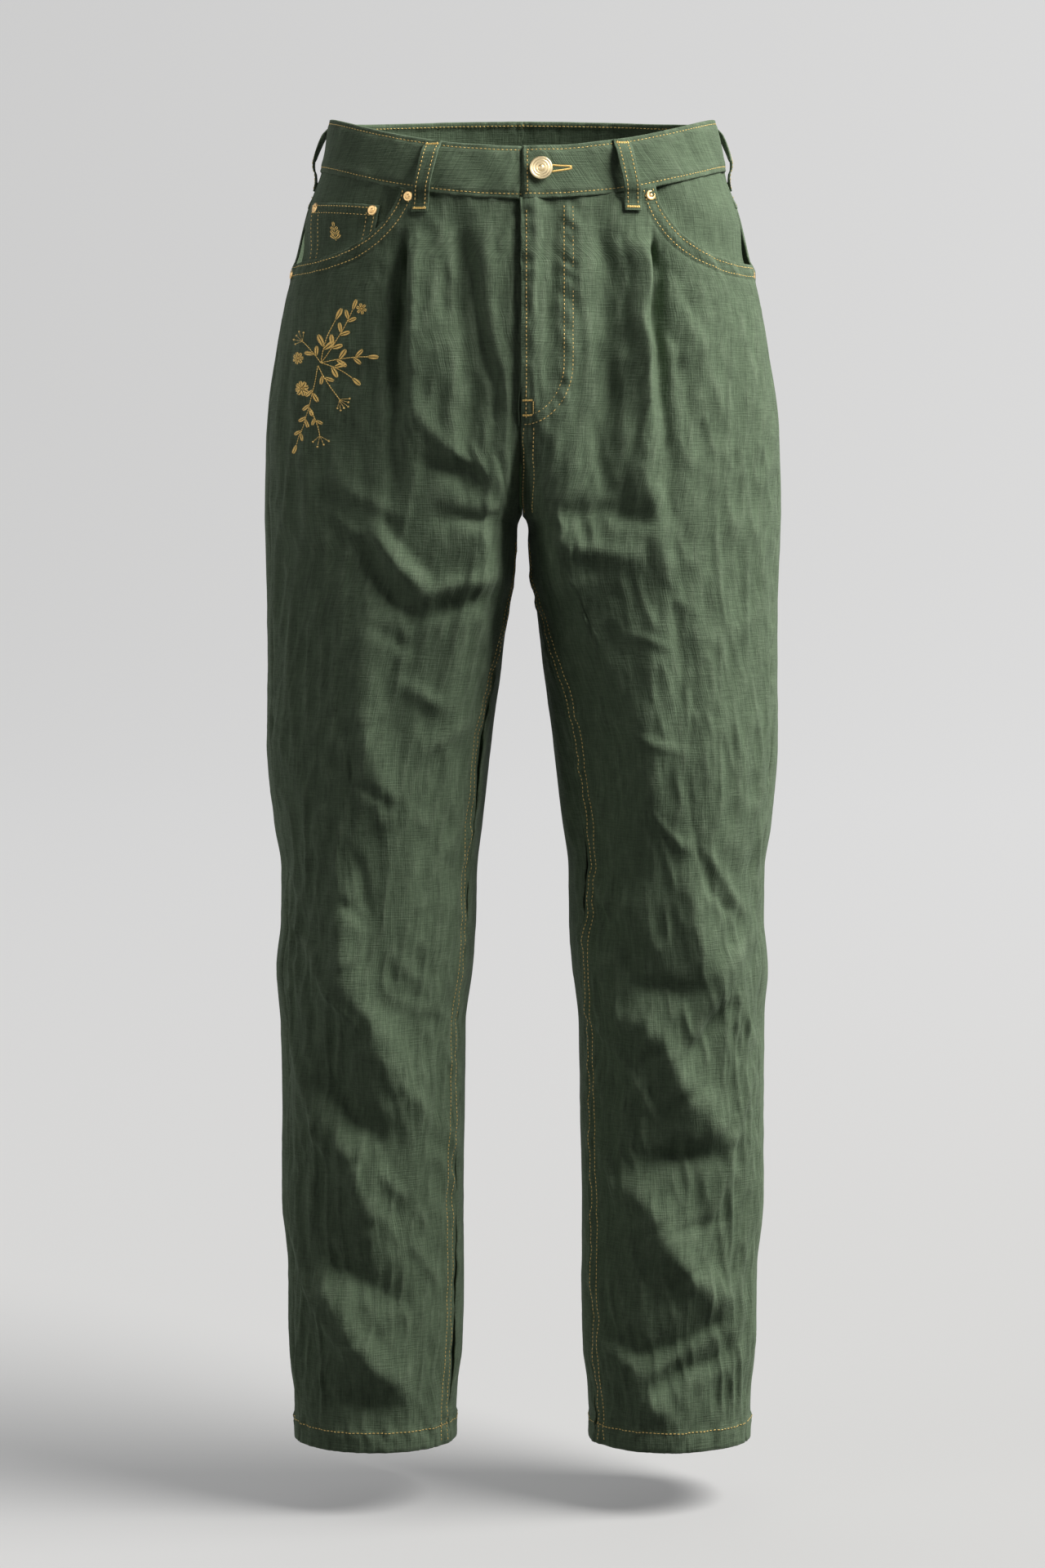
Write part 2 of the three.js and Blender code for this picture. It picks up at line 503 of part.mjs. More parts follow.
// It reaches a little way behind the mouth.
const FACING = { inwards: 7, below: 9, least: 14 };
function pocketFacing(side) {
  const inner = MOUTH[side].top - FACING.inwards;
  const from = angleAt(shareAt(inner, -60));
  const places = Array.from({ length: 9 }, (_, j) =>
    Array.from({ length: 11 }, (_, i) => {
      const angle = lerp(from, outseamAngle(-90) - SEAM_TURN, i / 10);
      const top = bandBottomZ(angle) - SEAM_GAP;
      const mouth = mouthZ(side, basePoint(-90, angle).x + FACING.inwards);
      return { z: lerp(top, Math.min(top - FACING.least, mouth - FACING.below), j / 8), angle };
    }),
  );
  return clothWall(side, places, (p) => facingLift(side, p));
}

const COIN = { top: { inner: 108, outer: 160 }, low: { inner: 120, outer: 167 }, z: -64, drop: -119 };
function coinPocket() {
  const places = Array.from({ length: 6 }, (_, j) =>
    Array.from({ length: 7 }, (_, i) => {
      const t = j / 5;
      const x = lerp(
        lerp(COIN.top.inner, COIN.low.inner, t),
        lerp(COIN.top.outer, COIN.low.outer, t),
        i / 6,
      );
      const z = lerp(COIN.z - 5 * (1 - i / 6), COIN.drop, t);
      return { z, angle: angleAt(shareAt(x, z)) };
    }),
  );
  const lift = (p) => facingLift("right", p) + COIN_GAP + COIN_WALL;
  return clothWall("right", places, lift, () => COIN_WALL);
}

const BACK_POCKET = { inner: 45, outer: 165, taper: 9, height: 150, point: 18, below: 33 };
const BACK_POCKET_GAP = 1.1;
function backPocket(side) {
  const { inner, outer, taper, height, point, below } = BACK_POCKET;
  const steps = 8;
  const places = Array.from({ length: steps + 1 }, (_, j) =>
    Array.from({ length: steps + 1 }, (_, i) => {
      const [a, b] = [i / steps, j / steps];
      const x = lerp(lerp(inner, inner + taper, b), lerp(outer, outer - taper, b), a);
      const top = yokeZ(TURN - angleAt(shareAt(x, -100))) - below;
      const z = top - b * (height + point * (1 - Math.abs(2 * a - 1)));
      return { z, angle: TURN - angleAt(shareAt(x, z)) };
    }),
  );
  return clothWall(side, places, () => BACK_POCKET_GAP + WALL);
}

// ---------------------------------------------------------------- belt loops

const LOOP = { width: 13.5, wall: 1.8, ends: 15 };
// How far a loop's underside stands off the panels, down its length.
const LOOP_PATH = [
  { down: 0.5, off: 0.5 },
  { down: 4, off: 0.9 },
  { down: 9, off: 4.6 },
  { down: 16, off: 5.8 },
  { down: 25, off: 6.2 },
  { down: 34, off: 5.6 },
  { down: 41, off: 3.2 },
  { down: 46, off: 0.9 },
  { down: BAND_HEIGHT + 15, off: 0.7 },
];
// x is the loop's place at the band's top edge, lean how far its foot lies further out.
const LOOPS = [
  { name: "belt_loop_front_left", side: "left", face: "front", x: 71, lean: 7.5 },
  { name: "belt_loop_front_right", side: "right", face: "front", x: 64, lean: 9 },
  { name: "belt_loop_side_left", side: "left", face: "back", x: 144.5, lean: 15 },
  { name: "belt_loop_side_right", side: "right", face: "back", x: 144.5, lean: 15 },
  { name: "belt_loop_back", side: "left", face: "back", x: 0, lean: 0 },
];

function beltLoop({ side, face, x, lean }) {
  const isFront = face === "front";
  const place = (down) => {
    const xAt = x + lean * (down / (BAND_HEIGHT + LOOP.ends));
    const turn = angleAt(xAt / levelValue("outer", -down));
    return isFront ? turn : TURN - turn;
  };
  const grid = (extra) =>
    LOOP_PATH.map(({ down, off }) => {
      const angle = place(down);
      const z = waistZ(angle) - down;
      const normal = x === 0 ? new THREE.Vector3(0, 1, 0) : normalOf(basePoint, z, angle);
      const bandFace = down < BAND_HEIGHT + 1 ? BAND_LIFT : 0;
      const centre = basePoint(z, angle).addScaledVector(normal, off + bandFace + extra);
      const along = new THREE.Vector3(0, 0, 1).cross(normal).normalize();
      return [-0.5, 0, 0.5].map((t) => {
        const p = centre.clone().addScaledVector(along, t * LOOP.width);
        return new THREE.Vector3(p.x * SIDE_SIGN[side], p.y, p.z);
      });
    });
  return wallGeometry(grid(LOOP.wall), grid(0));
}

// ---------------------------------------------------------------- button and rivets

const BUTTON = { x: 13.5, down: 17, radius: 8.6, height: 4.2, gap: 0.5 };
const RIVET = { radius: 3.8, height: 1.5 };

// A turned part stands on its foot, with +Y of its profile along the outward normal.
function turned(profile, segments) {
  const points = profile.map(({ r, h }) => new THREE.Vector2(r, h));
  return new THREE.LatheGeometry(points, segments);
}

function buttonGeometry() {
  const { radius, height } = BUTTON;
  return turned(
    [
      { r: 0, h: 0 },
      { r: 3.2, h: 0 },
      { r: 3.2, h: height - 2.6 },
      { r: radius - 0.6, h: height - 2.4 },
      { r: radius, h: height - 1.5 },
      { r: radius - 0.5, h: height - 0.5 },
      { r: radius - 1.6, h: height - 0.25 },
      { r: radius - 2.3, h: height - 0.7 },
      { r: 3.4, h: height - 0.7 },
      { r: 2.8, h: height - 0.2 },
      { r: 0, h: height },
    ],
    28,
  );
}

function rivetGeometry() {
  const { radius, height } = RIVET;
  return turned(
    [
      { r: 0, h: 0 },
      { r: radius, h: 0 },
      { r: radius, h: 0.5 },
      { r: radius - 0.8, h: 1 },
      { r: 1.4, h: 0.7 },
      { r: 1, h: height - 0.2 },
      { r: 0, h: height },
    ],
    14,
  );
}

// ---------------------------------------------------------------- the object

const darkGreen = new THREE.Color(0.055, 0.095, 0.06);
const cloth = new THREE.MeshStandardMaterial({ color: darkGreen, roughness: 0.85, metalness: 0 });
const brass = new THREE.MeshStandardMaterial({ color: 0xb98d4a, roughness: 0.35, metalness: 1 });

const jeans = new THREE.Group();
function add(name, geometry, material = cloth) {
  const mesh = new THREE.Mesh(geometry, material);
  mesh.name = name;
  jeans.add(mesh);
  return mesh;
}

// Puts a turned part on a surface point, its axis along the normal.
function stand(mesh, point, normal) {
  mesh.position.copy(point);
  mesh.quaternion.setFromUnitVectors(new THREE.Vector3(0, 1, 0), normal);
}

function outwardNormal(surface, side, z, angle) {
  const n = normalOf(surface, z, angle);
  return new THREE.Vector3(n.x * SIDE_SIGN[side], n.y, n.z);
}

for (const side of ["left", "right"]) {
  add(`front_${side}`, frontPanel(side));
  add(`back_${side}`, backPanel(side));
  add(`yoke_${side}`, yoke(side));
  add(`pocket_facing_${side}`, pocketFacing(side));
  add(`back_pocket_${side}`, backPocket(side));
}
add("waistband", waistband());
add("fly_shield", flyShield());
add("coin_pocket", coinPocket());
for (const loop of LOOPS) add(loop.name, beltLoop(loop));

// gap is what each flat foot needs to clear the curved cloth under it.
const RIVETS = [
  { name: "rivet_mouth_top_left", side: "left", onCoinPocket: false, x: 95.5, z: -62, gap: 0.6 },
  { name: "rivet_mouth_top_right", side: "right", onCoinPocket: false, x: 85, z: -63, gap: 0.6 },
  { name: "rivet_mouth_side_left", side: "left", onCoinPocket: false, x: 176.5, z: -117, gap: 0.6 },
  { name: "rivet_mouth_side_right", side: "right", onCoinPocket: false, x: 176.5, z: -117, gap: 0.6 },
  { name: "rivet_coin_inner", side: "right", onCoinPocket: true, x: 112.5, z: -72.5, gap: 1 },
  { name: "rivet_coin_outer", side: "right", onCoinPocket: true, x: 156.5, z: -68.5, gap: -0.1 },
];
for (const { name, side, onCoinPocket, x, z, gap } of RIVETS) {
  const angle = angleAt(shareAt(x, z));
  const under = onCoinPocket ? facingLift(side, { z, angle }) + COIN_GAP + COIN_WALL : 0;
  const point = lifted(side, z, angle, under + gap);
  const mesh = add(name, rivetGeometry(), brass);
  stand(mesh, point, outwardNormal(SURFACE[side], side, z, angle));
}

const button = add("waist_button", buttonGeometry(), brass);
const buttonTurn = turnAtX(BUTTON.x, BAND_Z);
const buttonZ = waistZ(buttonTurn) - BUTTON.down;
stand(
  button,
  bandPoint(buttonTurn, BUTTON.down, bandLift(buttonTurn) + BUTTON.gap),
  outwardNormal(basePoint, "left", buttonZ, buttonTurn),
);

export default jeans;
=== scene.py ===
"""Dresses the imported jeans: fine cloth on the solids' forms, sewing, sprigs, brass and a studio.

Sizes are in millimetres, in the frame's own axes: +Z up, the front towards -Y, the wearer's left
towards +X. A mesh is made in metres at the end.
"""

import math

import bmesh
import bpy
import numpy as np
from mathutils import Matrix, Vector


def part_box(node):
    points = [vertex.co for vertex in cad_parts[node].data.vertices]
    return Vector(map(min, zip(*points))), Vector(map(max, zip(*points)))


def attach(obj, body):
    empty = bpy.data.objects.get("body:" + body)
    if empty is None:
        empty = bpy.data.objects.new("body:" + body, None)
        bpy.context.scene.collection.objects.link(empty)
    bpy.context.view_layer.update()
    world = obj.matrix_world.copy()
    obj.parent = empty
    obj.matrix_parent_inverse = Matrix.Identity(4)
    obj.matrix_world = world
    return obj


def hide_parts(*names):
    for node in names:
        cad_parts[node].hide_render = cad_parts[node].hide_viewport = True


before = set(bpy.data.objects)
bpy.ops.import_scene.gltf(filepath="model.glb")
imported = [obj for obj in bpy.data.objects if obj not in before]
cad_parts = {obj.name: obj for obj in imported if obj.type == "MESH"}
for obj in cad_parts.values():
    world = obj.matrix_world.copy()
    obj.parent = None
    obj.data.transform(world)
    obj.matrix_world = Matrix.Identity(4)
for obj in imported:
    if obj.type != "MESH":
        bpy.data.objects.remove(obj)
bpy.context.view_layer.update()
BODY = "root"
MM = 0.001
SIGN = {"left": 1, "right": -1}
TURN = 2 * math.pi

# ------------------------------------------------------------------ driving sizes, as in the solids

OUTSEAM = 1032
CROTCH_Z = -303
CROTCH_NOTCH = {"width": 4, "height": 8}
CURVE = {"front": 105, "back": 150}
TORSO_ROUNDNESS = 2.2
TORSO_TO_LEG = (180, 560)
INNER_ROUNDING = {"crotch": 0.14, "knee": 0.5}
FRONT_DIP = 27
BACK_RISE = 8
SEAM_GAP = 0.3
# The inseam and the outseam swing to the front on their way down.
INSEAM_SWING = {"degrees": 25, "down": (315, 480)}
OUTSEAM_SWING = {"degrees": (169, 157), "down": (130, 480)}
CENTRE_CLEARANCE = 0.15
BAND_HEIGHT = 38
BAND_LIFT = 1
HEM_HEIGHT = 17
PLEAT = {"left": 96, "right": 86}
PLEAT_DEPTH = 3.6
PLEAT_CREASE = 4.5
FLY = {"bottom": -232, "width": 38, "step": 1.3, "overlap": 1}
BAND_TUCK = {"length": 34, "step": 1.5}
MOUTH = {
    "left": {"top": 98, "side": 178, "start": -46, "low": -111},
    "right": {"top": 90, "side": 178, "start": -48, "low": -110},
}
YOKE = {"side": 28, "centre": 62}
FACING_SUNK = 4.4
FACING_RISE = {"from": 6, "to": 34, "sunk": 0.4}
FACING = {"inwards": 7, "below": 9, "least": 14}
COIN = {"top": (108, 160), "low": (120, 167), "z": -64, "drop": -119, "gap": 0.8}
BACK_POCKET = {"inner": 45, "outer": 165, "taper": 9, "height": 150, "point": 18, "below": 33}

LEVEL_COLUMNS = ("z", "outer", "inner", "front", "back")
LEVELS = np.array(
    [
        (12, 143.5, 0, 95, 91),
        (0, 147, 0, 97, 93),
        (-38, 155, 0, 104, 100),
        (-70, 166.5, 0, 109, 110),
        (-100, 174, 0, 113, 118),
        (-140, 184, 0, 116, 127),
        (-180, 191.5, 0, 118, 133),
        (-230, 198.5, 0, 118, 135),
        (-300, 200.5, 0, 115, 127),
        (-345, 199.5, 1.5, 112, 116),
        (-371, 199, 6, 110, 111),
        (-420, 199, 12, 106, 104),
        (-480, 199.5, 20, 101, 97),
        (-540, 195, 27, 96, 90),
        (-580, 189.5, 31.5, 93, 84),
        (-620, 190, 32.5, 91, 78),
        (-655, 193.5, 35, 88, 76),
        (-700, 190.5, 40.5, 82, 80),
        (-760, 190, 41, 75, 84),
        (-840, 190.5, 42.5, 68, 83),
        (-890, 186, 42.5, 65, 78),
        (-960, 185, 44, 60, 70),
        (-995, 181.5, 48, 57, 65),
        (-1032, 181, 49, 55, 62),
    ],
    float,
)
LEVEL = {name: LEVELS[:, i] for i, name in enumerate(LEVEL_COLUMNS)}

# Ridges and troughs, by side and face. A row is its two ends (x, z, x, z), the lift (negative for
# a trough) and how fast it dies away on both sides. x grows from the middle outwards. The solids
# have these too.
FOLDS = {
    ("right", "front"): [
        (50, -86, 47, -150, -6, 12),
        (47, -150, 40, -262, -8, 15),
        (28, -92, 24, -150, 2, 8),
        (24, -150, 14, -215, 2, 8),
        (84, -112, 88, -260, 2, 12),
        (80, -222, 45, -252, 3.5, 9),
        (74, -262, 18, -290, -5.5, 10),
        (66, -304, 10, -302, -4, 7),
        (112, -308, 72, -355, 7, 10),
        (124, -322, 86, -372, -5, 9),
        (72, -362, 20, -344, 4, 8),
        (66, -376, 24, -362, -4, 8),
        (122, -370, 120, -460, 5.5, 17),
        (120, -460, 106, -522, 6.5, 15),
        (138, -595, 134, -650, 7, 17),
        (134, -650, 96, -748, 10, 20),
        (160, -728, 106, -788, -7.5, 16),
        (160, -752, 130, -798, 8, 16),
        (130, -798, 122, -846, 7, 16),
        (150, -878, 98, -912, -5, 12),
        (157, -896, 132, -940, 7.5, 15),
        (132, -940, 100, -982, 9, 16),
        (150, -990, 104, -998, -4, 11),
    ],
    ("right", "back"): [
        (52, -598, 150, -640, -10.5, 15),
        (60, -642, 165, -660, 7.5, 17),
        (68, -690, 160, -672, -7.5, 17),
        (74, -860, 150, -925, 7.5, 18),
        (60, -930, 140, -965, -5.5, 15),
        (100, -330, 30, -372, -7, 13),
        (110, -372, 36, -402, 5.5, 12),
    ],
    ("left", "front"): [
        (60, -85, 62, -160, -6.5, 12),
        (62, -160, 66, -290, -8, 15),
        (87, -105, 90, -250, 4.5, 12),
        (90, -250, 104, -345, 6, 13),
        (25, -298, 98, -299, -4, 9),
        (22, -319, 96, -338, 4, 9),
        (40, -352, 52, -460, -15, 38),
        (52, -460, 56, -600, -14, 36),
        (94, -390, 100, -520, 6.5, 16),
        (126, -575, 141, -650, 7.5, 13),
        (55, -610, 95, -660, -5.5, 13),
        (95, -660, 130, -666, -5.5, 11),
        (170, -628, 122, -712, 4.5, 9),
        (160, -680, 122, -718, -4.5, 9),
        (66, -682, 104, -702, 5.5, 13),
        (105, -710, 126, -750, 9, 17),
        (126, -750, 153, -782, 7.5, 16),
        (88, -798, 146, -796, -7, 13),
        (76, -806, 104, -852, 7, 17),
        (104, -852, 128, -890, 9, 17),
        (128, -890, 155, -918, 7.5, 15),
        (62, -926, 94, -952, -4.5, 10),
        (94, -952, 124, -950, -4.5, 10),
        (124, -950, 158, -924, -4, 10),
        (102, -980, 162, -952, -5.5, 9),
        (98, -974, 112, -1002, 5.5, 12),
    ],
    ("left", "back"): [
        (56, -622, 158, -604, -10.5, 15),
        (60, -652, 150, -640, 7.5, 16),
        (66, -668, 165, -700, -7.5, 18),
        (160, -850, 80, -900, 7.5, 18),
        (150, -895, 66, -945, -5.5, 15),
        (112, -336, 34, -368, -7, 13),
        (118, -368, 40, -404, 5.5, 12),
    ],
}
FOLD_ROUND = 0.45  # how round a fold's crest is, as a share of its reach

# ------------------------------------------------------------------ small maths


def lerp(a, b, t):
    return a + (b - a) * t


def smooth(x, low, high):
    t = np.clip((x - low) / (high - low), 0, 1)
    return t * t * (3 - 2 * t)


def quarter_round(share):
    return np.sqrt(np.clip(1 - (1 - np.clip(share, 0, 1)) ** 2, 0, 1))


def bell(away, reach):
    """1 on a line, dying away on both sides of it."""
    return np.exp(-((away / reach) ** 2))


class Noise:
    """Seeded value noise from 0 to 1, about one bump for each unit."""

    SIZE = 128

    def __init__(self, seed):
        self.table = np.random.default_rng(seed).random((self.SIZE, self.SIZE))

    def __call__(self, x, y):
        x0, y0 = np.floor(x), np.floor(y)
        tx, ty = x - x0, y - y0
        tx, ty = tx * tx * (3 - 2 * tx), ty * ty * (3 - 2 * ty)
        i, j = x0.astype(int) % self.SIZE, y0.astype(int) % self.SIZE
        i1, j1 = (i + 1) % self.SIZE, (j + 1) % self.SIZE
        low = lerp(self.table[i, j], self.table[i1, j], tx)
        high = lerp(self.table[i, j1], self.table[i1, j1], tx)
        return lerp(low, high, ty)


# ------------------------------------------------------------------ the garment's surface


def level_slopes(values):
    step = np.diff(values) / np.diff(LEVEL["z"])
    before, after = step[:-1], step[1:]
    total = np.where(before + after == 0, 1, before + after)
    middle = np.where(before * after > 0, 2 * before * after / total, 0)
    return np.concatenate([step[:1], middle, step[-1:]])


SLOPES = {name: level_slopes(LEVEL[name]) for name in LEVEL_COLUMNS[1:]}


def level_value(name, z):
    z = np.clip(z, LEVEL["z"][-1], LEVEL["z"][0])
    i = np.clip(np.searchsorted(-LEVEL["z"], -z, side="right") - 1, 0, len(LEVELS) - 2)
    height = LEVEL["z"][i + 1] - LEVEL["z"][i]
    t = (z - LEVEL["z"][i]) / height
    value, slope = LEVEL[name], SLOPES[name]
    start = (2 * t**3 - 3 * t**2 + 1) * value[i] + (t**3 - 2 * t**2 + t) * height * slope[i]
    end = (3 * t**2 - 2 * t**3) * value[i + 1] + (t**3 - t**2) * height * slope[i + 1]
    return start + end


def inner_edge(z):
    return CENTRE_CLEARANCE + level_value("inner", z)


def share_of(angle):
    """How far a place lies from the middle towards the hip, from 0 to 1."""
    return (1 - np.cos(angle)) / 2


def base_point(z, angle):
    """A point of the wearer's left half, before folds. angle is 0 at the centre front or inseam,
    half a turn at the hip and a whole turn at the centre back or inseam."""
    z, angle = np.broadcast_arrays(np.asarray(z, float), np.asarray(angle, float))
    share = share_of(angle)
    front = np.sin(angle) >= 0
    notch = CROTCH_NOTCH["width"] * np.sqrt(np.clip((CROTCH_Z - z) / CROTCH_NOTCH["height"], 0, 1))
    x = lerp(inner_edge(z), level_value("outer", z), share) + notch * (1 - share) ** 4
    power = TORSO_ROUNDNESS
    torso_depth = np.clip(1 - share**power, 0, 1) ** (1 / power)
    leg_depth = np.where(share < 0.5, 1, np.abs(np.sin(angle)))
    outer_depth = lerp(torso_depth, leg_depth, smooth(-z, *TORSO_TO_LEG))
    joined = quarter_round((z - CROTCH_Z) / np.where(front, CURVE["front"], CURVE["back"]))
    down = smooth(-z, -CROTCH_Z, TORSO_TO_LEG[1])
    rounding = lerp(INNER_ROUNDING["crotch"], INNER_ROUNDING["knee"], down)
    inner_depth = lerp(quarter_round(share / rounding), 1, joined)
    depth = np.where(front, -level_value("front", z), level_value("back", z))
    return np.stack([x, depth * outer_depth * inner_depth, z], axis=-1)


def base_normal(z, angle):
    z, angle = np.broadcast_arrays(np.asarray(z, float), np.asarray(angle, float))
    da, dz = 0.03, 1.5
    low = np.where(z > CROTCH_Z, 0, -TURN)
    high = np.where(z > CROTCH_Z, TURN, 2 * TURN)
    across = base_point(z, np.minimum(angle + da, high)) - base_point(z, np.maximum(angle - da, low))
    down = base_point(z - dz, angle) - base_point(z + dz, angle)
    normal = np.cross(down, across)
    return normal / np.linalg.norm(normal, axis=-1, keepdims=True)


def angle_at(share):
    return np.arccos(1 - 2 * np.clip(share, 0, 1))


def share_at(x, z):
    return (x - inner_edge(z)) / (level_value("outer", z) - inner_edge(z))


def inseam_angle(z):
    return math.radians(INSEAM_SWING["degrees"]) * smooth(-z, *INSEAM_SWING["down"])


def outseam_angle(z):
    return np.radians(lerp(*OUTSEAM_SWING["degrees"], smooth(-z, *OUTSEAM_SWING["down"])))


def waist_z(angle):
    return (1 - share_of(angle) ** 2) * np.where(np.sin(angle) >= 0, -FRONT_DIP, BACK_RISE)


def band_bottom(angle):
    return waist_z(angle) - BAND_HEIGHT


def mouth_z(side, x):
    m = MOUTH[side]
    return lerp(m["start"], m["low"], quarter_round((x - m["top"]) / (m["side"] - m["top"])))


def mouth_distance(side, x, z):
    """How far below a pocket's mouth a point of the front lies."""
    m = MOUTH[side]
    width, height = m["side"] - m["top"], m["start"] - m["low"]
    across, down = (m["side"] - x) / width, (m["start"] - z) / height
    reach = np.maximum(np.hypot(across, down), 0.2)
    return (reach - 1) * reach / np.maximum(np.hypot(across / width, down / height), 1e-6)


def yoke_z(angle):
    return band_bottom(angle) - lerp(YOKE["centre"], YOKE["side"], share_of(angle))


# ------------------------------------------------------------------ folds, pleats and ripples


WANDER = {"x": Noise(41), "z": Noise(42), "size": 30, "reach": 9}


def fold_lift(side, front, x, z, folds):
    """What the folds add. Their lines wander, as cloth does."""
    u, v = x / WANDER["size"] + 9 * (side == "left"), z / WANDER["size"]
    x = x + WANDER["reach"] * (WANDER["x"](u, v) - 0.5)
    z = z + WANDER["reach"] * (WANDER["z"](u, v) - 0.5)
    lift = np.zeros(x.shape)
    for face, on_face in (("front", front), ("back", ~front)):
        for x1, z1, x2, z2, height, reach in folds[side, face]:
            dx, dz = x2 - x1, z2 - z1
            along = np.clip(((x - x1) * dx + (z - z1) * dz) / (dx * dx + dz * dz), 0, 1)
            away = np.hypot(x - x1 - along * dx, z - z1 - along * dz)
            far = 1.3 * (np.hypot(away / reach, FOLD_ROUND) - FOLD_ROUND)
            taper = 1 - 0.5 * np.abs(2 * along - 1) ** 3
            lift += on_face * height * taper * np.exp(-far - 0.4 * far * far)
    return lift


# How far a pleat spreads at its top and low down, and how far below the waist it begins and ends.
PLEAT_RUN = {"spread": (16, 34), "begins": (84, 108), "ends": (140, 250), "groove_ends": (120, 220)}


def pleat_lift(side, x, z):
    away = x - PLEAT[side]
    spread = lerp(*PLEAT_RUN["spread"], np.clip((-70 - z) / 200, 0, 1))
    depth = PLEAT_DEPTH * smooth(-z, *PLEAT_RUN["begins"]) * (1 - smooth(-z, *PLEAT_RUN["ends"]))
    groove = 0.8 * depth * bell(away - 2, 2) * (1 - smooth(-z, *PLEAT_RUN["groove_ends"]))
    return -depth * np.tanh(away / 1.1) * bell(away, spread) - groove


def fly_lift(side, x, z):
    opened = smooth(z, FLY["bottom"] - 12, FLY["bottom"] + 10)
    return SIGN[side] * FLY["step"] * opened * (1 - smooth(x, 4, 26))


# Fine creases that stand on the folds, in the same columns.
CREASES = {
    ("right", "front"): [
        (93, -100, 95, -200, -4.5, 6),
        (95, -200, 100, -300, -3, 8),
        (80, -96, 82, -190, 2, 4),
        (58, -90, 52, -170, 2, 5),
        (43, -97, 31, -150, -3.5, 6),
        (31, -150, 25, -196, -5, 6),
        (25, -196, 18, -244, -4, 5),
        (66, -100, 60, -150, -1.8, 4),
        (52, -176, 48, -258, 4.5, 9),
        (42, -232, 26, -292, 2, 4),
        (20, -250, 8, -288, -2, 3.5),
        (46, -268, 30, -276, -2.6, 3),
        (58, -248, 40, -262, 2, 4),
        (112, -150, 104, -250, 1.4, 7),
        (64, -84, 70, -160, 1.6, 6),
        (16, -110, 12, -200, -1.8, 6),
        (150, -272, 84, -298, 2, 6),
        (152, -300, 108, -318, 1.8, 5),
        (100, -300, 62, -350, -1.9, 5),
        (50, -303, 12, -300, -1.5, 3),
        (72, -478, 44, -456, 2.5, 7),
        (88, -428, 58, -444, 2, 7),
        (115, -386, 84, -402, -2, 6),
        (129, -478, 127, -506, -1.9, 3),
        (122, -500, 100, -520, -2, 4),
        (128, -562, 116, -604, -2.2, 5),
        (136, -590, 118, -612, -1.9, 4),
        (178, -612, 128, -692, 3.2, 4),
        (182, -700, 163, -770, 2.5, 4),
        (163, -770, 148, -802, 2.5, 4),
        (96, -640, 60, -668, 1.2, 6),
        (98, -668, 58, -690, 1.1, 5),
        (88, -744, 66, -780, 2, 7),
        (182, -860, 158, -926, 3, 4),
        (158, -926, 140, -952, 3, 4),
        (78, -868, 58, -926, 1.6, 5),
        (70, -896, 62, -924, -1.8, 6),
        (110, -800, 92, -830, 1.5, 6),
    ],
    ("right", "back"): [
        (40, -610, 140, -628, -2.5, 5),
        (70, -652, 160, -646, 2.5, 5),
        (90, -704, 168, -690, 2, 5),
        (30, -352, 96, -326, -2, 5),
        (24, -380, 70, -362, -1.8, 4),
        (96, -830, 120, -900, 2.2, 6),
        (150, -900, 90, -980, 2, 5),
    ],
    ("left", "front"): [
        (102, -108, 104, -250, -4.5, 6),
        (104, -250, 112, -330, -2.5, 7),
        (90, -100, 91, -210, 2, 4),
        (14, -84, 13, -150, -1.8, 3),
        (40, -80, 42, -140, 2, 4),
        (44, -150, 40, -230, -2, 4),
        (76, -92, 78, -180, -2.2, 4),
        (70, -180, 76, -262, 2, 4),
        (84, -200, 80, -280, -2, 4),
        (9, -66, 8, -222, 2.2, 5),
        (21, -66, 22, -215, -3.2, 6),
        (48, -78, 46, -200, 1.4, 6),
        (56, -80, 74, -150, -1.6, 6),
        (132, -150, 150, -240, 1.6, 7),
        (118, -150, 120, -240, -1.4, 6),
        (98, -104, 114, -172, -2.5, 5),
        (114, -172, 127, -232, -1.8, 6),
        (113, -116, 142, -168, -1.8, 5),
        (92, -318, 97, -342, -1.9, 3),
        (104, -322, 110, -350, 2, 4),
        (76, -390, 110, -401, 1.9, 3),
        (28, -378, 52, -392, 1.2, 3),
        (72, -458, 118, -477, 2.1, 3.5),
        (117, -362, 119, -474, -1.8, 5),
        (127, -378, 126, -470, -1.5, 4),
        (98, -528, 128, -552, 1.9, 4),
        (131, -514, 137, -562, -2.2, 3.5),
        (138, -550, 168, -604, 2.8, 5),
        (146, -588, 158, -604, -1.5, 3),
        (47, -578, 64, -612, 2, 3),
        (42, -506, 54, -536, 1.2, 3),
        (40, -540, 54, -572, 1.2, 3),
        (52, -682, 78, -722, 2.5, 3.5),
        (78, -722, 102, -764, 2.2, 4),
        (178, -640, 172, -668, -2.2, 6),
        (166, -668, 178, -710, 2.2, 4),
        (176, -730, 160, -800, 2.2, 4),
        (60, -790, 76, -830, 2, 3.5),
        (162, -800, 146, -852, 2, 4),
        (113, -858, 158, -846, -2.2, 5),
        (180, -850, 164, -952, 2, 4),
        (62, -944, 90, -966, 2, 5),
        (104, -968, 150, -938, 2, 5),
        (166, -956, 156, -936, -1.8, 5),
        (60, -968, 68, -992, 1.5, 4),
    ],
    ("left", "back"): [
        (60, -606, 150, -616, -2.5, 5),
        (62, -640, 140, -662, 2.5, 5),
        (100, -690, 170, -712, 2, 5),
        (32, -350, 104, -330, -2, 5),
        (26, -384, 76, -356, -1.8, 4),
        (130, -810, 96, -890, 2.2, 6),
        (84, -930, 150, -960, 2, 5),
    ],
}

# Each side's noise: long ripples, slow unevenness, fine grain and crumple.
RIPPLES = {
    "left": [Noise(11), Noise(12), Noise(13), Noise(14)],
    "right": [Noise(21), Noise(22), Noise(23), Noise(24)],
}


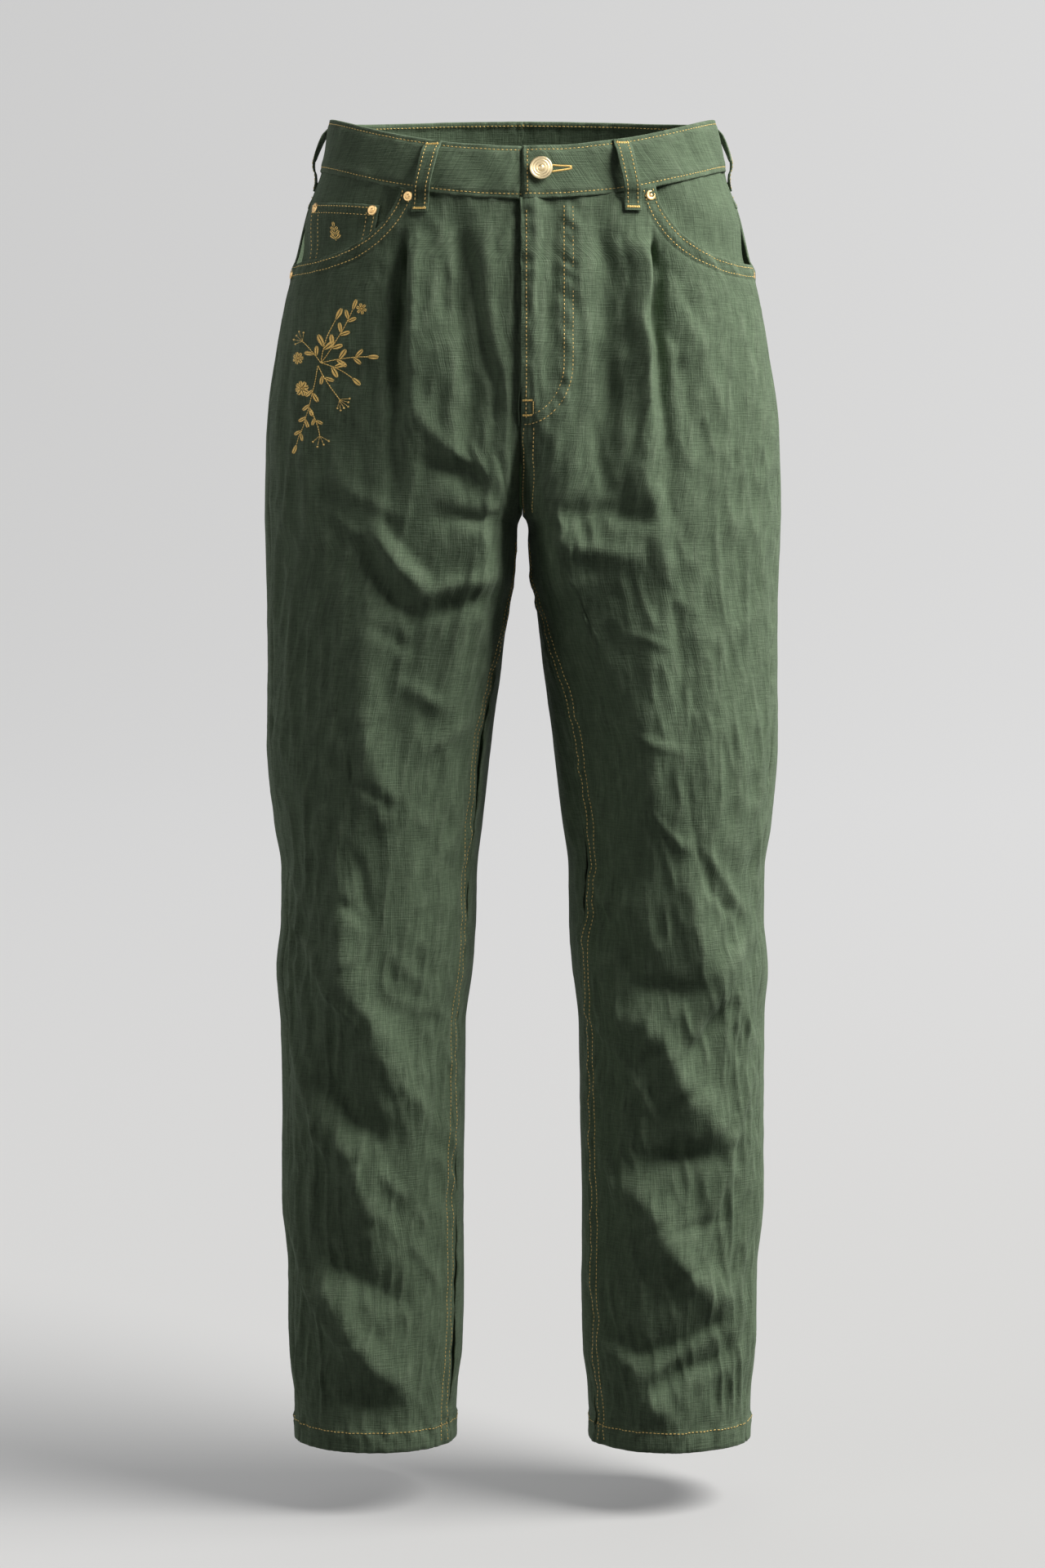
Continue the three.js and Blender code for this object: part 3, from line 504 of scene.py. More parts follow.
def around(z, angle):
    """About how far round the half a point lies, in mm."""
    return level_value("outer", z) * angle * 0.62


RIPPLE_LIFT = {"hips": 1.8, "slow": 4.2, "small": 0.8, "crush": 2.1, "fine": 0.5}


def ripple_lift(side, z, angle):
    """Long ripples down the hips' sides, a slow unevenness and a fine crumple everywhere."""
    long_noise, slow_noise, fine_noise, crush_noise = RIPPLES[side]
    u = around(z, angle)
    share = share_of(angle)
    towards_side = smooth(share, 0.45, 0.85) * (1 - 0.6 * smooth(share, 0.97, 1))
    on_leg = smooth(-z, 120, 260) * (1 - smooth(-z, 985, 1020))
    # ripples lean a little from side to side on their way down
    drift = 16 * slow_noise(u / 120, z / 130)
    ridges = 1 - np.abs(2 * long_noise((u + drift) / 17, z / 70) - 1)
    slow = slow_noise(u / 46 + 9, z / 95) - 0.5
    crush = np.abs(2 * crush_noise(u / 17 + z / 60, z / 30 - u / 50) - 1)
    small = np.abs(2 * crush_noise(u / 8 - z / 34 + 50, z / 16 + u / 60) - 1)
    fine = fine_noise(u / 5, z / 11) - 0.5
    lift = RIPPLE_LIFT["hips"] * towards_side * on_leg * (1.3 * ridges**2 - 0.4)
    lift += RIPPLE_LIFT["slow"] * slow * (0.4 + 0.6 * on_leg)
    lift += RIPPLE_LIFT["small"] * (0.3 - small) * smooth(slow, -0.2, 0.15)
    lift += RIPPLE_LIFT["crush"] * (0.3 - crush) * (0.35 + 0.65 * on_leg)
    return lift + RIPPLE_LIFT["fine"] * fine


# Seams draw the cloth in: rows of small puckers on either side of a line of stitches.
PUCKER = {"pitch": 7, "reach": 8, "lift": 1.0}


def pucker(away, along, noise):
    near = bell(away, PUCKER["reach"])
    return PUCKER["lift"] * near * (2 * noise(along / PUCKER["pitch"], away / 14) - 1)


HEM_LINE = -OUTSEAM + HEM_HEIGHT
FELL = {"front": 0.5, "centre": 0.9}  # what a felled seam's layers add
OUTSEAM_GROOVE = {"depth": 0.7, "reach": 1.6}
ROW_REACH = 1.8  # half the width of the hollow that a row of stitches draws in
FLY_CLOTH = {"layer": 0.5, "hollow": 0.8, "width": 60, "under": 2.4}
WELT = {"lift": 1.1, "hollow": 0.7, "row": 9}
HEM_CLOTH = {"pucker": 1.3, "layer": 0.8}


def leg_seam_lift(front, z, angle, noise):
    """The felled inseam is a flat ridge in front, the outseam a pressed groove."""
    radius = level_value("outer", z) * 0.45
    from_front = np.where(front & (angle <= math.pi), angle, angle - TURN)
    to_inseam = np.abs(from_front - inseam_angle(z)) * radius
    to_outseam = np.abs(angle - outseam_angle(z)) * radius * 1.4
    on_leg, below_mouth = smooth(-z, 300, 330), smooth(-z, 112, 140)
    lift = on_leg * pucker(to_inseam - 5, z, noise)
    lift += below_mouth * pucker(to_outseam, z + 40, noise) * 0.8
    fell = FELL["front"] * front * on_leg
    lift += fell * (1 - smooth(to_inseam, 8.5, 10.5)) * smooth(angle, 0.02, 0.2)
    return lift - OUTSEAM_GROOVE["depth"] * bell(to_outseam, OUTSEAM_GROOVE["reach"]) * below_mouth


def fly_cloth_lift(side, x, z, noise):
    """The left front has the fly's double layer, the hollows of its rows and the felled centre
    seam. The right front lies under it."""
    if side == "right":
        return -FLY_CLOTH["under"] * (1 - smooth(x, 1, 13))
    to_j = fly_distance(x, z)
    lift = pucker(to_j - 4, x + 1.3 * z, noise)
    lift += FLY_CLOTH["layer"] * (1 - smooth(to_j, 7.8, 9.2)) * smooth(z, -246, -232)
    lift -= FLY_CLOTH["hollow"] * (bell(to_j, ROW_REACH) + bell(to_j - FLY_J["apart"], ROW_REACH))
    lift *= x < FLY_CLOTH["width"]
    lift += pucker(x - 4, z, noise) * 0.9
    return lift + FELL["centre"] * (1 - smooth(x, 9.6, 11)) * (1 - smooth(z, -240, -232))


def mouth_lift(side, x, z, u, noise):
    """A pocket's mouth is a welt with a row of stitches near its lower edge."""
    from_mouth, top = mouth_distance(side, x, z), MOUTH[side]["top"]
    lift = pucker(from_mouth - 5, u + 1.2 * z, noise)
    lift += WELT["lift"] * (1 - smooth(from_mouth, 9.4, 10.8))
    lift -= WELT["hollow"] * bell(from_mouth - WELT["row"], ROW_REACH)
    return lift * smooth(x, top - 14, top - 8) * smooth(from_mouth, -4, -1)


def seam_lift(side, front, x, z, angle):
    """What seams, the fly, the mouths, the hem and the band's lower edge do to the cloth."""
    noise = RIPPLES[side][2]
    u = around(z, angle)
    lift = leg_seam_lift(front, z, angle, noise)
    lift += pucker(z - HEM_LINE + 2, u - 0.8 * z, noise) * HEM_CLOTH["pucker"]
    lift += HEM_CLOTH["layer"] * (1 - smooth(z, HEM_LINE - 1, HEM_LINE + 1.2))
    lift += front * smooth(z, CROTCH_Z - 4, CROTCH_Z + 8) * fly_cloth_lift(side, x, z, noise)
    below_band = band_bottom(angle) - z
    lift += pucker(below_band + 1, u, noise) * (1 - smooth(below_band, 10, 26)) * 0.9
    return lift + front * mouth_lift(side, x, z, u, noise)


# The fly's J: straight down, then a quarter of an ellipse to the centre seam.
FLY_J = {"x": 31, "turn": -186, "end": -226, "apart": 6.6}


def fly_distance(x, z):
    """How far outside the J's inner line a point lies."""
    down = np.clip(FLY_J["turn"] - z, 0, None) / (FLY_J["turn"] - FLY_J["end"])
    return (np.hypot(np.clip(x, 0, None) / FLY_J["x"], down) - 1) * FLY_J["x"]


def pleat_crease(side, x, z):
    """The pleat's outer side is pressed deep in at its top, and opens on its way down."""
    away = x - PLEAT[side]
    width = lerp(2.6, 9, np.clip((-100 - z) / 150, 0, 1))
    depth = PLEAT_CREASE * smooth(-z, 92, 112) * (1 - smooth(-z, 170, 300))
    return -depth * bell(away - 1.2 * width, width)


def clear_of_sides(angle):
    """0 along the middle and the sides, so that panels still meet there, and 1 between them."""
    return smooth(np.abs(np.sin(angle)), 0, 0.6)


def fine_lift(side, z, angle, x, front):
    clear = clear_of_sides(angle)
    lift = clear * fold_lift(side, front, x, z, CREASES) + front * pleat_crease(side, x, z)
    return lift + ripple_lift(side, z, angle) * (0.25 + 0.75 * clear) + seam_lift(side, front, x, z, angle)


FLY_LAP = 1.0  # the left front's edge laps this far over the middle
FLY_EDGE = 2.5  # how wide the strip is that moves over with it


def cloth(side, z, angle, lift=0.0, fine=1.0):
    """Points of one side's cloth, moved out by lift. fine scales what the solids don't have."""
    z, angle = np.broadcast_arrays(np.asarray(z, float), np.asarray(angle, float))
    base = base_point(z, angle)
    x = base[..., 0]
    front = np.sin(angle) >= 0
    total = lift + clear_of_sides(angle) * fold_lift(side, front, x, z, FOLDS)
    total = total + np.where(front, pleat_lift(side, x, z) + fly_lift(side, x, z), 0)
    if fine:
        total = total + fine * fine_lift(side, z, angle, x, front)
    points = base + base_normal(z, angle) * np.asarray(total)[..., None]
    points[..., 0] = np.maximum(points[..., 0], CENTRE_CLEARANCE)
    if side == "left":
        above_crotch = smooth(z, CROTCH_Z, CROTCH_Z + 20)
        points[..., 0] -= np.where(front, FLY_LAP * above_crotch, 0) * (x < FLY_EDGE)
    points[..., 0] *= SIGN[side]
    return points


def placer(side, lift=0.0, fine=1.0, lift_of=None):
    """A function that lays places on one side's cloth, moved out by lift and by what lift_of says."""

    def place(z, angle):
        extra = lift if lift_of is None else lift + lift_of(side, z, angle)
        return cloth(side, z, angle, extra, fine)

    return place


def outward(side, z, angle):
    normal = base_normal(z, angle)
    normal[..., 0] *= SIGN[side]
    return normal


# ------------------------------------------------------------------ meshes


def mesh_object(name, points, faces, material, uv=None, wear_and_highlight=None, sharp=None):
    """Makes a mesh object from points in mm. uv and the wear-and-highlight share have a row for each point.
    """
    mesh = bpy.data.meshes.new(name)
    mesh.from_pydata((np.asarray(points) * MM).tolist(), [], faces)
    mesh.polygons.foreach_set("use_smooth", np.ones(len(mesh.polygons), bool))
    corners = np.zeros(len(mesh.loops), int)
    mesh.loops.foreach_get("vertex_index", corners)
    if uv is not None:
        layer = mesh.uv_layers.new(name="cloth")
        layer.data.foreach_set("uv", (np.asarray(uv)[corners] * MM).ravel())
    if wear_and_highlight is not None:
        mesh.attributes.new("wear_and_highlight", "FLOAT", "POINT").data.foreach_set("value", wear_and_highlight)
    if sharp is not None:
        mesh.set_sharp_from_angle(angle=math.radians(sharp))
    mesh.materials.append(material)
    obj = bpy.data.objects.new(name, mesh)
    bpy.context.scene.collection.objects.link(obj)
    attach(obj, BODY)
    return obj


def grid_normals(points):
    down, across = np.gradient(points, axis=0), np.gradient(points, axis=1)
    normal = np.cross(down, across)
    return normal / np.maximum(np.linalg.norm(normal, axis=-1, keepdims=True), 1e-9)


def grid_uv(points):
    """How far along its row each point lies, and its height, in mm."""
    step = np.linalg.norm(np.diff(points, axis=1), axis=-1)
    along = np.concatenate([np.zeros((len(points), 1)), np.cumsum(step, axis=1)], axis=1)
    along -= along[:, along.shape[1] // 2][:, None]
    return np.stack([along, points[..., 2]], axis=-1)


def grid_wear_and_highlight(points, normals):
    """1 on a crest or a panel's edge, 0 in a hollow. At the edges the paler colour is rubbed wear; on the
    crests it is partly wear and partly a painted highlight.
    """
    bend = np.zeros(points.shape[:2])
    inner = points[1:-1, 1:-1]
    around_it = points[:-2, 1:-1] + points[2:, 1:-1] + points[1:-1, :-2] + points[1:-1, 2:]
    bend[1:-1, 1:-1] = ((inner - around_it / 4) * normals[1:-1, 1:-1]).sum(-1)
    wear_and_highlight = smooth(bend, 0.0, 0.09)
    for _ in range(2):
        wear_and_highlight[1:-1, 1:-1] = (wear_and_highlight[1:-1, 1:-1] * 2 + wear_and_highlight[:-2, 1:-1] + wear_and_highlight[2:, 1:-1]) / 4
    wear_and_highlight[[0, -1], :] = 1
    wear_and_highlight[:, [0, -1]] = 1
    return wear_and_highlight


def quads(index, flip):
    a, b, c, d = index[:-1, :-1], index[1:, :-1], index[1:, 1:], index[:-1, 1:]
    order = (a, d, c, b) if flip else (a, b, c, d)
    return np.stack(order, axis=-1).reshape(-1, 4).tolist()


# The rings of a folded edge: how deep in the wall each lies, and its share of the bulge, which is
# itself a share of the wall.
EDGE_RINGS = ((0.18, 0.7), (0.5, 1.0), (0.82, 0.7))
EDGE_BULGE = 0.35


def shell(name, points, wall, material, around=False):
    """A cloth of an even wall under a grid of outer points, with folded, round edges. around
    says that it goes round the whole waist, and not on one side alone."""
    normals = grid_normals(points)
    middle = np.array([0 if around else np.sign(points[..., 0].mean()) * 100, 0, 0])
    flip = ((points - middle)[..., :2] * normals[..., :2]).sum() < 0
    if flip:
        normals = -normals
    rows, columns = points.shape[:2]
    count = rows * columns
    index = np.arange(count).reshape(rows, columns)
    uv = grid_uv(points).reshape(-1, 2)
    # crests and edges take the paler denim: rubbed wear at the edges, and on the crests partly wear and
    # partly a painted highlight
    worn_and_highlit = grid_wear_and_highlight(points, normals).ravel()
    inner = points - normals * wall
    faces = quads(index, flip) + quads(index + count, not flip)
    rim = np.concatenate([index[0, :-1], index[:-1, -1], index[-1, :0:-1], index[:0:-1, 0]])
    beside = np.concatenate([index[1, :-1], index[:-1, -2], index[-2, :0:-1], index[:0:-1, 1]])
    outer_flat, normal_flat = points.reshape(-1, 3), normals.reshape(-1, 3)
    away = outer_flat[rim] - outer_flat[beside]
    away -= (away * normal_flat[rim]).sum(-1, keepdims=True) * normal_flat[rim]
    away /= np.maximum(np.linalg.norm(away, axis=-1, keepdims=True), 1e-9)
    rings = []
    for depth, out in EDGE_RINGS:
        rings.append(outer_flat[rim] - normal_flat[rim] * wall * depth + away * wall * EDGE_BULGE * out)
    edge = 2 * count + np.arange(len(EDGE_RINGS) * len(rim)).reshape(len(EDGE_RINGS), -1)
    loops = [rim, *edge, rim + count]
    for upper, lower in zip(loops, loops[1:]):
        upper_next, lower_next = np.roll(upper, -1), np.roll(lower, -1)
        order = (upper, lower, lower_next, upper_next) if flip else (upper, upper_next, lower_next, lower)
        faces += np.stack(order, axis=-1).tolist()
    all_points = np.concatenate([outer_flat, inner.reshape(-1, 3)] + rings)
    all_uv = np.concatenate([uv, uv] + [uv[rim]] * len(EDGE_RINGS))
    all_worn_and_highlit = np.concatenate([worn_and_highlit, worn_and_highlit * 0, np.ones(edge.size)])
    return mesh_object(name, all_points, faces, material, all_uv, all_worn_and_highlit)


# ------------------------------------------------------------------ cloth pieces

SEAM_TURN = 0.0024  # half the outseam's gap, as an angle
TOP_ROWS_END = -150
PLEAT_AT = 0.44  # share of a front's columns that lie between the middle and the pleat
PLEAT_GATHER = 1.7
CLOTH_WALL = 1.3
COIN_WALL = 1.1
YOKE_LAP = 0.5  # the yoke's lower edge is double
SHIELD_UNDER = 6.4
FACING_FINE = 0.35  # share of the fine creases that the facings and the coin pocket have
FRONT_SIZE = {"top_rows": 60, "rows": 256, "columns": 124}
BACK_SIZE = {"rows": 240, "columns": 98}


def panel(node, points, material, wall=CLOTH_WALL, around=False):
    """The cloth that shows in place of one of the solids."""
    piece = shell(f"{node}_cloth", points, wall, material, around)
    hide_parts(node)
    return piece


def front_angle(side, z, c):
    """Columns from 0 to 1 gather at the pleat, and are even again below it."""
    start, end = inseam_angle(z), outseam_angle(z) - SEAM_TURN
    pleat = angle_at(share_at(PLEAT[side], z))
    towards_middle = 1 - (1 - np.clip(c / PLEAT_AT, 0, 1)) ** PLEAT_GATHER
    towards_hip = np.clip((c - PLEAT_AT) / (1 - PLEAT_AT), 0, 1) ** PLEAT_GATHER
    middle, hip = lerp(start, pleat, towards_middle), lerp(pleat, end, towards_hip)
    gathered = np.where(c < PLEAT_AT, middle, hip)
    return lerp(gathered, lerp(start, end, c), smooth(-z, 210, 330))


def front_top(side, c):
    """The top edge runs under the band and then down the pocket's mouth."""
    z = np.full(c.shape, -90.0)
    for _ in range(14):  # each round brings the edge closer to where both agree
        angle = front_angle(side, z, c)
        x = base_point(z, angle)[..., 0]
        band = band_bottom(angle) - SEAM_GAP
        z = np.where(x <= MOUTH[side]["top"], band, np.minimum(band, mouth_z(side, x)))
    return z


def front_panel(side, material):
    c = np.linspace(0, 1, FRONT_SIZE["columns"])
    t = np.linspace(0, 1, FRONT_SIZE["top_rows"] + 1)[:, None]
    upper = lerp(front_top(side, c)[None], TOP_ROWS_END, t)
    lower = np.linspace(TOP_ROWS_END, -OUTSEAM, FRONT_SIZE["rows"])[1:, None] + 0 * c[None]
    z = np.concatenate([upper, lower])
    points = cloth(side, z, front_angle(side, z, c[None]))
    return panel(f"front_{side}", points, material)


def back_angle(z, c):
    return lerp(outseam_angle(z) + SEAM_TURN, TURN + inseam_angle(z), c)


def back_panel(side, material):
    c = np.linspace(0, 1, BACK_SIZE["columns"])
    top = yoke_z(back_angle(-90, c)) - SEAM_GAP
    t = np.linspace(0, 1, BACK_SIZE["rows"])[:, None]
    z = lerp(top[None], -OUTSEAM, t)
    z = lerp(z, lerp(top.mean(), -OUTSEAM, t), smooth(t, 0.1, 0.25))
    points = cloth(side, z, back_angle(z, c[None]))
    return panel(f"back_{side}", points, material)


def yoke(side, material):
    angle = back_angle(-60, np.linspace(0, 1, 96))
    t = np.linspace(0, 1, 26)[:, None]
    z = lerp(band_bottom(angle) - 2 * SEAM_GAP, yoke_z(angle), t)
    lift = YOKE_LAP * smooth(t, 0.7, 0.9)
    return panel(f"yoke_{side}", cloth(side, z, angle, lift), material)


def facing_lift(side, z, angle):
    m = MOUTH[side]
    above = z - mouth_z(side, np.minimum(base_point(z, angle)[..., 0], m["side"]))
    rise = smooth(above, FACING_RISE["from"], FACING_RISE["to"])
    return -lerp(FACING_SUNK, FACING_RISE["sunk"], rise)


FACING_HOLLOW = 3.2


def facing_hollows(side, z, angle):
    """The facing hangs slack behind the mouth, in hollows that close towards the band."""
    noise = RIPPLES[side][1]
    slack = smooth(-z, 62, 84) * (1 - smooth(angle, 0.9, 1.25))
    return -FACING_HOLLOW * slack * smooth(noise(around(z, angle) / 22 + 3, z / 13), 0.35, 0.8)


def pocket_facing(side, material):
    inner = MOUTH[side]["top"] - FACING["inwards"]
    start = angle_at(share_at(inner, -60))
    angle = np.linspace(start, outseam_angle(-90) - SEAM_TURN, 60)
    x = base_point(-90, angle)[..., 0]
    top = band_bottom(angle) - SEAM_GAP
    low = np.minimum(top - FACING["least"], mouth_z(side, x + FACING["inwards"]) - FACING["below"])
    z = lerp(top, low, np.linspace(0, 1, 44)[:, None])
    angle = angle[None] + 0 * z
    lift = facing_lift(side, z, angle) + facing_hollows(side, z, angle)
    points = cloth(side, z, angle, lift, FACING_FINE)
    return panel(f"pocket_facing_{side}", points, material)


def coin_places(a, b):
    """a runs across the coin pocket from the inner edge, b down it."""
    x = lerp(lerp(COIN["top"][0], COIN["low"][0], b), lerp(COIN["top"][1], COIN["low"][1], b), a)
    z = lerp(COIN["z"] - 5 * (1 - a), COIN["drop"], b)
    return z, angle_at(share_at(x, z))


COIN_LIFT = COIN["gap"] + 1.2  # how far the coin pocket stands off the facing's outside


def coin_pocket(material):
    a, b = np.meshgrid(np.linspace(0, 1, 44), np.linspace(0, 1, 42))
    z, angle = coin_places(a, b)
    puff = 0.5 * quarter_round(np.minimum(a, 1 - a) * 12) * quarter_round(b * 9)
    lift = facing_lift("right", z, angle) + COIN_LIFT + puff
    points = cloth("right", z, angle, lift, FACING_FINE)
    return panel("coin_pocket", points, material, COIN_WALL)


def back_pocket_places(a, b):
    """a runs across the back pocket from the inner edge, b down it to its point."""
    p = BACK_POCKET
    x = lerp(p["inner"] + p["taper"] * b, p["outer"] - p["taper"] * b, a)
    top = yoke_z(TURN - angle_at(share_at(x, -100))) - p["below"]
    z = top - b * (p["height"] + p["point"] * (1 - np.abs(2 * a - 1)))
    return z, TURN - angle_at(share_at(x, z))


BACK_POCKET_LIFT = {"edge": 2.2, "puff": 0.7, "hem": 0.6}


def back_pocket_lift(a, b):
    """How far the pocket stands off its panel: it puffs inside its rows and is double at its hem."""
    from_edge = np.minimum(np.minimum(a, 1 - a), 1 - b)
    puff = BACK_POCKET_LIFT["puff"] * smooth(from_edge, 0.05, 0.16)
    return BACK_POCKET_LIFT["edge"] + puff + BACK_POCKET_LIFT["hem"] * (1 - smooth(b, 0.08, 0.1))


def back_pocket(side, material):
    a, b = np.meshgrid(np.linspace(0, 1, 72), np.linspace(0, 1, 84))
    z, angle = back_pocket_places(a, b)
    return panel(f"back_pocket_{side}", cloth(side, z, angle, back_pocket_lift(a, b)), material)


# A turn is 0 at the centre front, and grows past the left hip, the back and the right hip.
BAND_Z = -45
OVERLAP_TURN = float(angle_at(FLY["overlap"] / level_value("outer", BAND_Z)))
TUCK_END = float(2 * TURN + angle_at(BAND_TUCK["length"] / level_value("outer", BAND_Z)))
BAND_WALL = 2.4
BAND_SOLID_WALL = 2.6
BAND_NOISE = Noise(31)


def band_lift(turn):
    """The buttonhole end lies over the button end."""
    over = 1 - smooth(turn, OVERLAP_TURN, OVERLAP_TURN + 1.1)
    under = smooth(turn, 2 * TURN - 0.32, 2 * TURN - 0.04)
    return BAND_LIFT + over * BAND_TUCK["step"] + under * (BAND_TUCK["step"] - BAND_SOLID_WALL - SEAM_GAP)


def band_place(turn):
    """The angle within its half, and 1 for the left half or -1 for the right."""
    ring = np.mod(turn, 2 * TURN)
    left = ring <= TURN
    return np.where(left, ring, 2 * TURN - ring), np.where(left, 1.0, -1.0)


BAND_ROWS = 2.6  # the band's stitches lie this far from its edges
BAND_RADIUS = 78


def band_point(turn, down, lift=0.0):
    turn, down = np.broadcast_arrays(np.asarray(turn, float), np.asarray(down, float))
    angle, sign = band_place(turn)
    z = waist_z(angle) - down
    u = turn * BAND_RADIUS
    from_edge = np.minimum(down, BAND_HEIGHT - down)
    waves = 2.2 * (BAND_NOISE(u / 26, down / 24) - 0.5)
    puckers = 1.1 * bell(from_edge - 4, 6) * (BAND_NOISE(u / 7, down / 9 + 40) - 0.5)
    bulge = 0.8 * smooth(from_edge, -2, 5) - 0.6 * bell(from_edge - BAND_ROWS, 1.5)
    total = band_lift(turn) + lift + (waves + puckers + bulge)
    point = base_point(z, angle) + base_normal(z, angle) * np.asarray(total)[..., None]
    point[..., 0] *= sign
    return point


def band_outward(turn, down):
    turn, down = np.broadcast_arrays(np.asarray(turn, float), np.asarray(down, float))
    angle, sign = band_place(turn)
    normal = base_normal(waist_z(angle) - down, angle)
    normal[..., 0] *= sign
    return normal


def waistband(material):
    turns = np.linspace(OVERLAP_TURN, TUCK_END, 420)
    downs = np.linspace(0, BAND_HEIGHT, 28)[:, None]
    return panel("waistband", band_point(turns[None], downs), material, BAND_WALL, around=True)


def fly_shield(material):
    box_low, box_high = (np.array(corner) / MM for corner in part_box("fly_shield"))
    x = np.linspace(box_low[0], box_high[0], 24)
    z = np.linspace(box_high[2], box_low[2], 60)[:, None] + 0 * x
    angle = angle_at(share_at(np.maximum(np.abs(x), 1), z))
    points = cloth("left", z, angle, -SHIELD_UNDER, fine=0)
    points[..., 0] = x
    return panel("fly_shield", points, material)


# ------------------------------------------------------------------ seam allowances

# Half a tape's width, its wall and how far it lies under the panels' outsides.
TAPE = {"half": 6.5, "wall": 1.0, "under": 2.1}
TAPE_TOP = {"inseam": -330, "outseam": -118}
TAPE_FRONT = (-206, -262)
TAPE_BACK_END = -250


def seam_tape(name, side, z, angle, across_z, material):
    """A strip of turned-in cloth behind a seam. across_z says that the seam runs round the leg."""
    offsets = np.linspace(-TAPE["half"], TAPE["half"], 7)
    if across_z:
        z = z[None] + offsets[::-1, None]
        angle = angle[None] + 0 * z
    else:
        angle = angle[:, None] + offsets[None] / (level_value("front", z)[:, None] + 30)
        z = z[:, None] + 0 * angle
    points = cloth(side, z, angle, -TAPE["under"])
    piece = shell(f"{name}_allowance_{side}", points, TAPE["wall"], material)


def centre_tape(name, z, turned_angle, material):
    """A strip behind a centre seam, from one side over the middle to the other."""
    x = np.linspace(0.4, TAPE["half"], 4)
    halves = []
    for side in ("right", "left"):
        zs = z[:, None] + 0 * x[None]
        angle = turned_angle(angle_at(share_at(x[None], zs)))
        halves.append(cloth(side, zs, angle, -TAPE["under"], fine=0.3))
    points = np.concatenate([halves[0][:, ::-1], halves[1]], axis=1)
    piece = shell(f"{name}_allowance", points, TAPE["wall"], material, around=True)


def seam_tapes(material):
    foot = -OUTSEAM + 1
    leg, hip = np.linspace(TAPE_TOP["inseam"], foot, 160), np.linspace(TAPE_TOP["outseam"], foot, 200)
    yoke_angle = back_angle(-60, np.linspace(0.01, 0.99, 80))
    for side in ("left", "right"):
        seam_tape("inseam", side, leg, inseam_angle(leg), False, material)
        seam_tape("outseam", side, hip, outseam_angle(hip), False, material)
        seam_tape("yoke", side, yoke_z(yoke_angle), yoke_angle, True, material)
    front = np.linspace(*TAPE_FRONT, 24)
    back = np.linspace(float(band_bottom(TURN)) - 2, TAPE_BACK_END, 90)
    centre_tape("centre_front", front, lambda angle: angle, material)
    centre_tape("centre_back", back, lambda angle: TURN - angle, material)


# ------------------------------------------------------------------ belt loops

LOOP = {"width": 13.5, "wall": 1.7, "below": 15}
LOOP_LENGTH = BAND_HEIGHT + LOOP["below"]
# How far a loop's underside stands off the panels, down its length.
LOOP_PATH = [
    (0.5, 0.5),
    (4, 0.9),
    (9, 4.6),
    (16, 5.8),
    (25, 6.2),
    (34, 5.6),
    (41, 3.2),
    (46, 0.9),
    (53, 0.7),
]
# name, side, face, x at the band's top edge and how far the foot lies further out
LOOPS = [
    ("belt_loop_front_left", "left", "front", 71, 7.5),
    ("belt_loop_front_right", "right", "front", 64, 9),
    ("belt_loop_side_left", "left", "back", 144.5, 15),
    ("belt_loop_side_right", "right", "back", 144.5, 15),
    ("belt_loop_back", "left", "back", 0, 0),
]


def loop_frame(row, down, lift=0.0):
    """A loop's middle line, its normal and the direction across it, at distances down it."""
    _, side, face, x, lean = row
    x_at = x + lean * down / LOOP_LENGTH
    angle, top_angle = angle_at(x_at / level_value("outer", -down)), angle_at(x / level_value("outer", 0.0))
    if face == "back":
        angle, top_angle = TURN - angle, TURN - top_angle
    z = waist_z(top_angle) - down
    normal = base_normal(z, angle)
    if x == 0:
        normal = np.zeros(normal.shape) + np.array([0.0, 1.0, 0.0])
    path = np.array(LOOP_PATH)
    off = np.interp(down, path[:, 0], path[:, 1])
    for _ in range(2):
        off = np.convolve(np.pad(off, 2, mode="edge"), np.ones(5) / 5, mode="valid")
    off = off + BAND_LIFT * (1 - smooth(down, BAND_HEIGHT, BAND_HEIGHT + 3))
    middle = base_point(z, angle) + normal * (off + lift)[:, None]
    across = np.cross([0.0, 0.0, 1.0], normal)
    across /= np.linalg.norm(across, axis=-1, keepdims=True)
    flip = np.array([SIGN[side], 1.0, 1.0])
    return middle * flip, normal * flip, across * flip


def belt_loop(row, material):
    """Sweeps a round-edged strip along the loop's path."""
    down = np.linspace(0.5, LOOP_LENGTH, 72)
    middle, normal, across = loop_frame(row, down)
    turn = np.linspace(0, TURN, 20, endpoint=False)
    side = np.sign(np.cos(turn)) * np.abs(np.cos(turn)) ** 0.35 * LOOP["width"] / 2
    up = np.sign(np.sin(turn)) * np.abs(np.sin(turn)) ** 0.5 * LOOP["wall"] / 2 + LOOP["wall"] / 2
    points = middle[:, None] + across[:, None] * side[None, :, None] + normal[:, None] * up[None, :, None]
    rows, ring = points.shape[:2]
    index = np.arange(rows * ring).reshape(rows, ring)
    index = np.concatenate([index, index[:, :1]], axis=1)
    uv = np.stack([np.tile(side, rows), np.repeat(middle[:, 2], ring)], axis=-1)
    faces = quads(index, row[1] == "left")
    faces += [index[0, :-1].tolist(), index[-1, :-1][::-1].tolist()]
    worn_and_highlit = np.tile(smooth(np.abs(side), 4.5, 6.4), rows)
    piece = mesh_object(f"{row[0]}_cloth", points.reshape(-1, 3), faces, material, uv, worn_and_highlit, sharp=60)
    recalculate_outward(piece)
    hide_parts(row[0])
    return piece


def recalculate_outward(obj):
    mesh = bmesh.new()
    mesh.from_mesh(obj.data)
    bmesh.ops.recalc_face_normals(mesh, faces=mesh.faces)
    mesh.to_mesh(obj.data)
    mesh.free()


# ------------------------------------------------------------------ materials

DENIM_GREEN = (0.131, 0.183, 0.113, 1)
